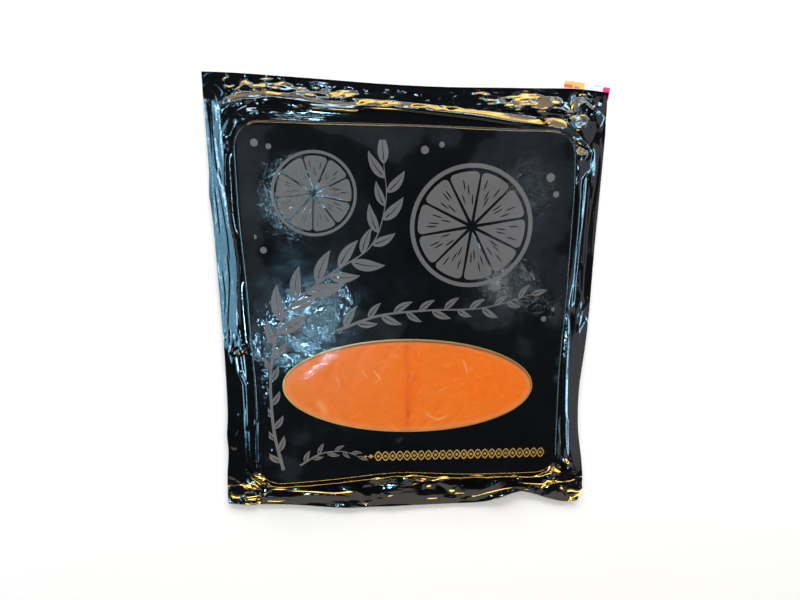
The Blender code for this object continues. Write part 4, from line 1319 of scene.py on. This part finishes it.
# painted shadow along the window's upper edge
base = n.blend(base, (0.42, 0.085, 0.020), n.math("MULTIPLY", n.value("rim_top_shadow"), 0.55))
salmon = n.set(
    Base_Color=base,
    Roughness=n.ramp(n.noise(300.0, 3.0, 0.6), 0.3, 0.7, 0.28, 0.45),
    Normal=n.bump(n.math("ADD", n.math("MULTIPLY", n.noise(420.0, 3.0, 0.6), 0.5), n.math("MULTIPLY", marbling, 0.2)), 0.0002),
)
n.shader.inputs["Specular IOR Level"].default_value = 0.12
n.shader.inputs["Subsurface Weight"].default_value = 0.12
n.shader.inputs["Subsurface Radius"].default_value = (1.0, 0.35, 0.12)
n.shader.inputs["Subsurface Scale"].default_value = 0.002
for obj in (salmon_left, salmon_right):
    obj.data.materials.append(salmon)

n = Nodes("sticker_paper")
along = n.place((1, 1, 1), math.radians(6.6))
split = n.tree.nodes.new("ShaderNodeSeparateXYZ")
n.put(split.inputs[0], along)
ax, ay = split.outputs[0], split.outputs[1]
base_x, base_y = Matrix.Rotation(math.radians(6.6), 2) @ Vector((105.0 * MM, 131.4 * MM))
at_x = n.math("SUBTRACT", ax, base_x)
at_y = n.math("SUBTRACT", ay, base_y)


def field(x0, x1, y0, y1):
    a = n.math("MULTIPLY", n.math("GREATER_THAN", at_x, x0 * MM), n.math("LESS_THAN", at_x, x1 * MM))
    b = n.math("MULTIPLY", n.math("GREATER_THAN", at_y, y0 * MM), n.math("LESS_THAN", at_y, y1 * MM))
    return n.math("MULTIPLY", a, b)


paper = n.blend((0.86, 0.85, 0.83), (0.80, 0.79, 0.77), n.noise(400.0, 3.0, 0.6))
paper = n.blend(paper, (0.90, 0.47, 0.13), field(-14.1, -2.0, 3.2, 7.1))
paper = n.blend(paper, (0.78, 0.10, 0.06), field(-14.1, -9.0, 3.0, 4.9))
paper = n.blend(paper, (0.62, 0.16, 0.07), field(-8.0, -5.0, 3.2, 4.4))
paper = n.blend(paper, (0.35, 0.68, 0.88), field(4.0, 9.0, 5.8, 6.5))
paper = n.blend(paper, (0.82, 0.012, 0.19), field(9.6, 14.1, -1.0, 6.0))
sticker_mat = n.set(Base_Color=paper, Roughness=n.ramp(n.noise(200.0, 2.0), 0.3, 0.7, 0.4, 0.55), Normal=n.bump(n.noise(900.0, 2.0), 0.00005))
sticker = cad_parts["back_sticker"]
sticker.data.materials.clear()
sticker.data.materials.append(sticker_mat)

for piece, node, slot in (
    (film_face, "pouch", "black_film"),
    (film_flange, "pouch", "black_film"),
    (film_back, "pouch", "black_film"),
    (window_clear, "window_film", "clear_film"),
    (salmon_left, "slice_left", "salmon"),
    (salmon_right, "slice_right", "salmon"),
):
    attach(piece, "root")
    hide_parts(node)

# =====================================================================================
# Floor and light
# =====================================================================================
bpy.ops.mesh.primitive_plane_add(size=6.0, location=(0, 0, -0.0001))
floor = bpy.context.object
floor.name = "floor"
n = Nodes("floor")
floor.data.materials.append(n.set(Base_Color=n.blend((0.945, 0.945, 0.945), (0.935, 0.935, 0.935), n.noise(3.0)), Roughness=0.8))
floor.visible_glossy = False

world = bpy.data.worlds.new("world")
bpy.context.scene.world = world
world.use_nodes = True
world.node_tree.nodes["Background"].inputs[0].default_value = (1, 1, 1, 1)
world.node_tree.nodes["Background"].inputs[1].default_value = 0.36
world.cycles_visibility.glossy = False


def softbox(name, centre, size, shine, colour, aim=(0, 0, 0), diffuse=False, glossy=True, shape="RECTANGLE"):
    """A studio light. shine is its brightness against white paper."""
    data = bpy.data.lights.new(name, "AREA")
    data.shape = shape
    data.size, data.size_y = size
    area = size[0] * size[1] * (1.0 if shape == "RECTANGLE" else math.pi / 4)
    data.energy = shine * area * math.pi
    data.color = colour
    obj = bpy.data.objects.new(name, data)
    obj.location = centre
    obj.rotation_euler = (Vector(aim) - Vector(centre)).to_track_quat("-Z", "Y").to_euler()
    bpy.context.scene.collection.objects.link(obj)
    obj.visible_diffuse = diffuse
    obj.visible_glossy = glossy
    obj.visible_camera = False
    return obj


softbox("low_fill", (0.1, 2.0, 0.65), (2.0, 0.7), 21.5, (1, 1, 1), diffuse=True, glossy=False)
softbox("overhead", (0.1, 0.70, 1.15), (1.1, 1.2), 1.26, (1, 1, 1), diffuse=True, glossy=False)
softbox("left_window", (-1.0, 0.05, 0.62), (1.4, 0.75), 7.6, (0.30, 0.70, 1.0))
softbox("left_core", (-1.02, 0.1, 0.40), (1.3, 0.14), 28.0, (0.52, 0.82, 1.0))
softbox("right_core", (1.1, 0.0, 0.46), (1.4, 0.085), 24.0, (0.42, 0.82, 1.0))
softbox("right_halo", (1.12, 0.0, 0.44), (1.4, 0.30), 6.5, (0.28, 0.62, 1.0))
softbox("right_dim", (0.98, 0.0, 0.86), (1.6, 0.62), 1.0, (0.93, 0.93, 1.05))
softbox("top_cool", (0.0, 0.95, 0.95), (1.6, 0.09), 30.0, (0.62, 0.87, 1.0))
softbox("top_warm", (0.0, 1.1, 0.5), (1.6, 0.26), 21.0, (1.0, 0.60, 0.10))
softbox("top_hot", (0.0, 1.08, 0.54), (1.6, 0.03), 34.0, (1.0, 0.82, 0.42))
softbox("top_brown", (0.0, 1.05, 0.72), (1.6, 0.22), 5.0, (1.0, 0.72, 0.48))
softbox("bottom_warm", (0.0, -1.1, 0.45), (1.6, 0.24), 24.0, (1.0, 0.60, 0.08))
softbox("bottom_hot", (0.0, -1.08, 0.49), (1.6, 0.03), 36.0, (1.0, 0.82, 0.42))
softbox("bottom_dim", (0.0, -0.93, 0.80), (1.4, 0.26), 1.45, (1.0, 0.9, 0.8))
softbox("patch_main", (-0.174, -0.348, 1.2), (0.075, 0.085), 275.0, (0.34, 0.72, 1.0), shape="ELLIPSE")
softbox("patch_upper", (-0.17, -0.01, 1.2), (0.05, 0.06), 100.0, (0.45, 0.78, 1.0), shape="ELLIPSE")
softbox("patch_right", (0.416, 0.005, 1.2), (0.04, 0.04), 13.0, (0.9, 0.95, 1.0), shape="ELLIPSE")
softbox("patch_low", (0.40, -0.249, 1.2), (0.05, 0.05), 22.0, (0.85, 0.93, 1.0), shape="ELLIPSE")

scene = bpy.context.scene
scene.view_settings.view_transform = "Standard"
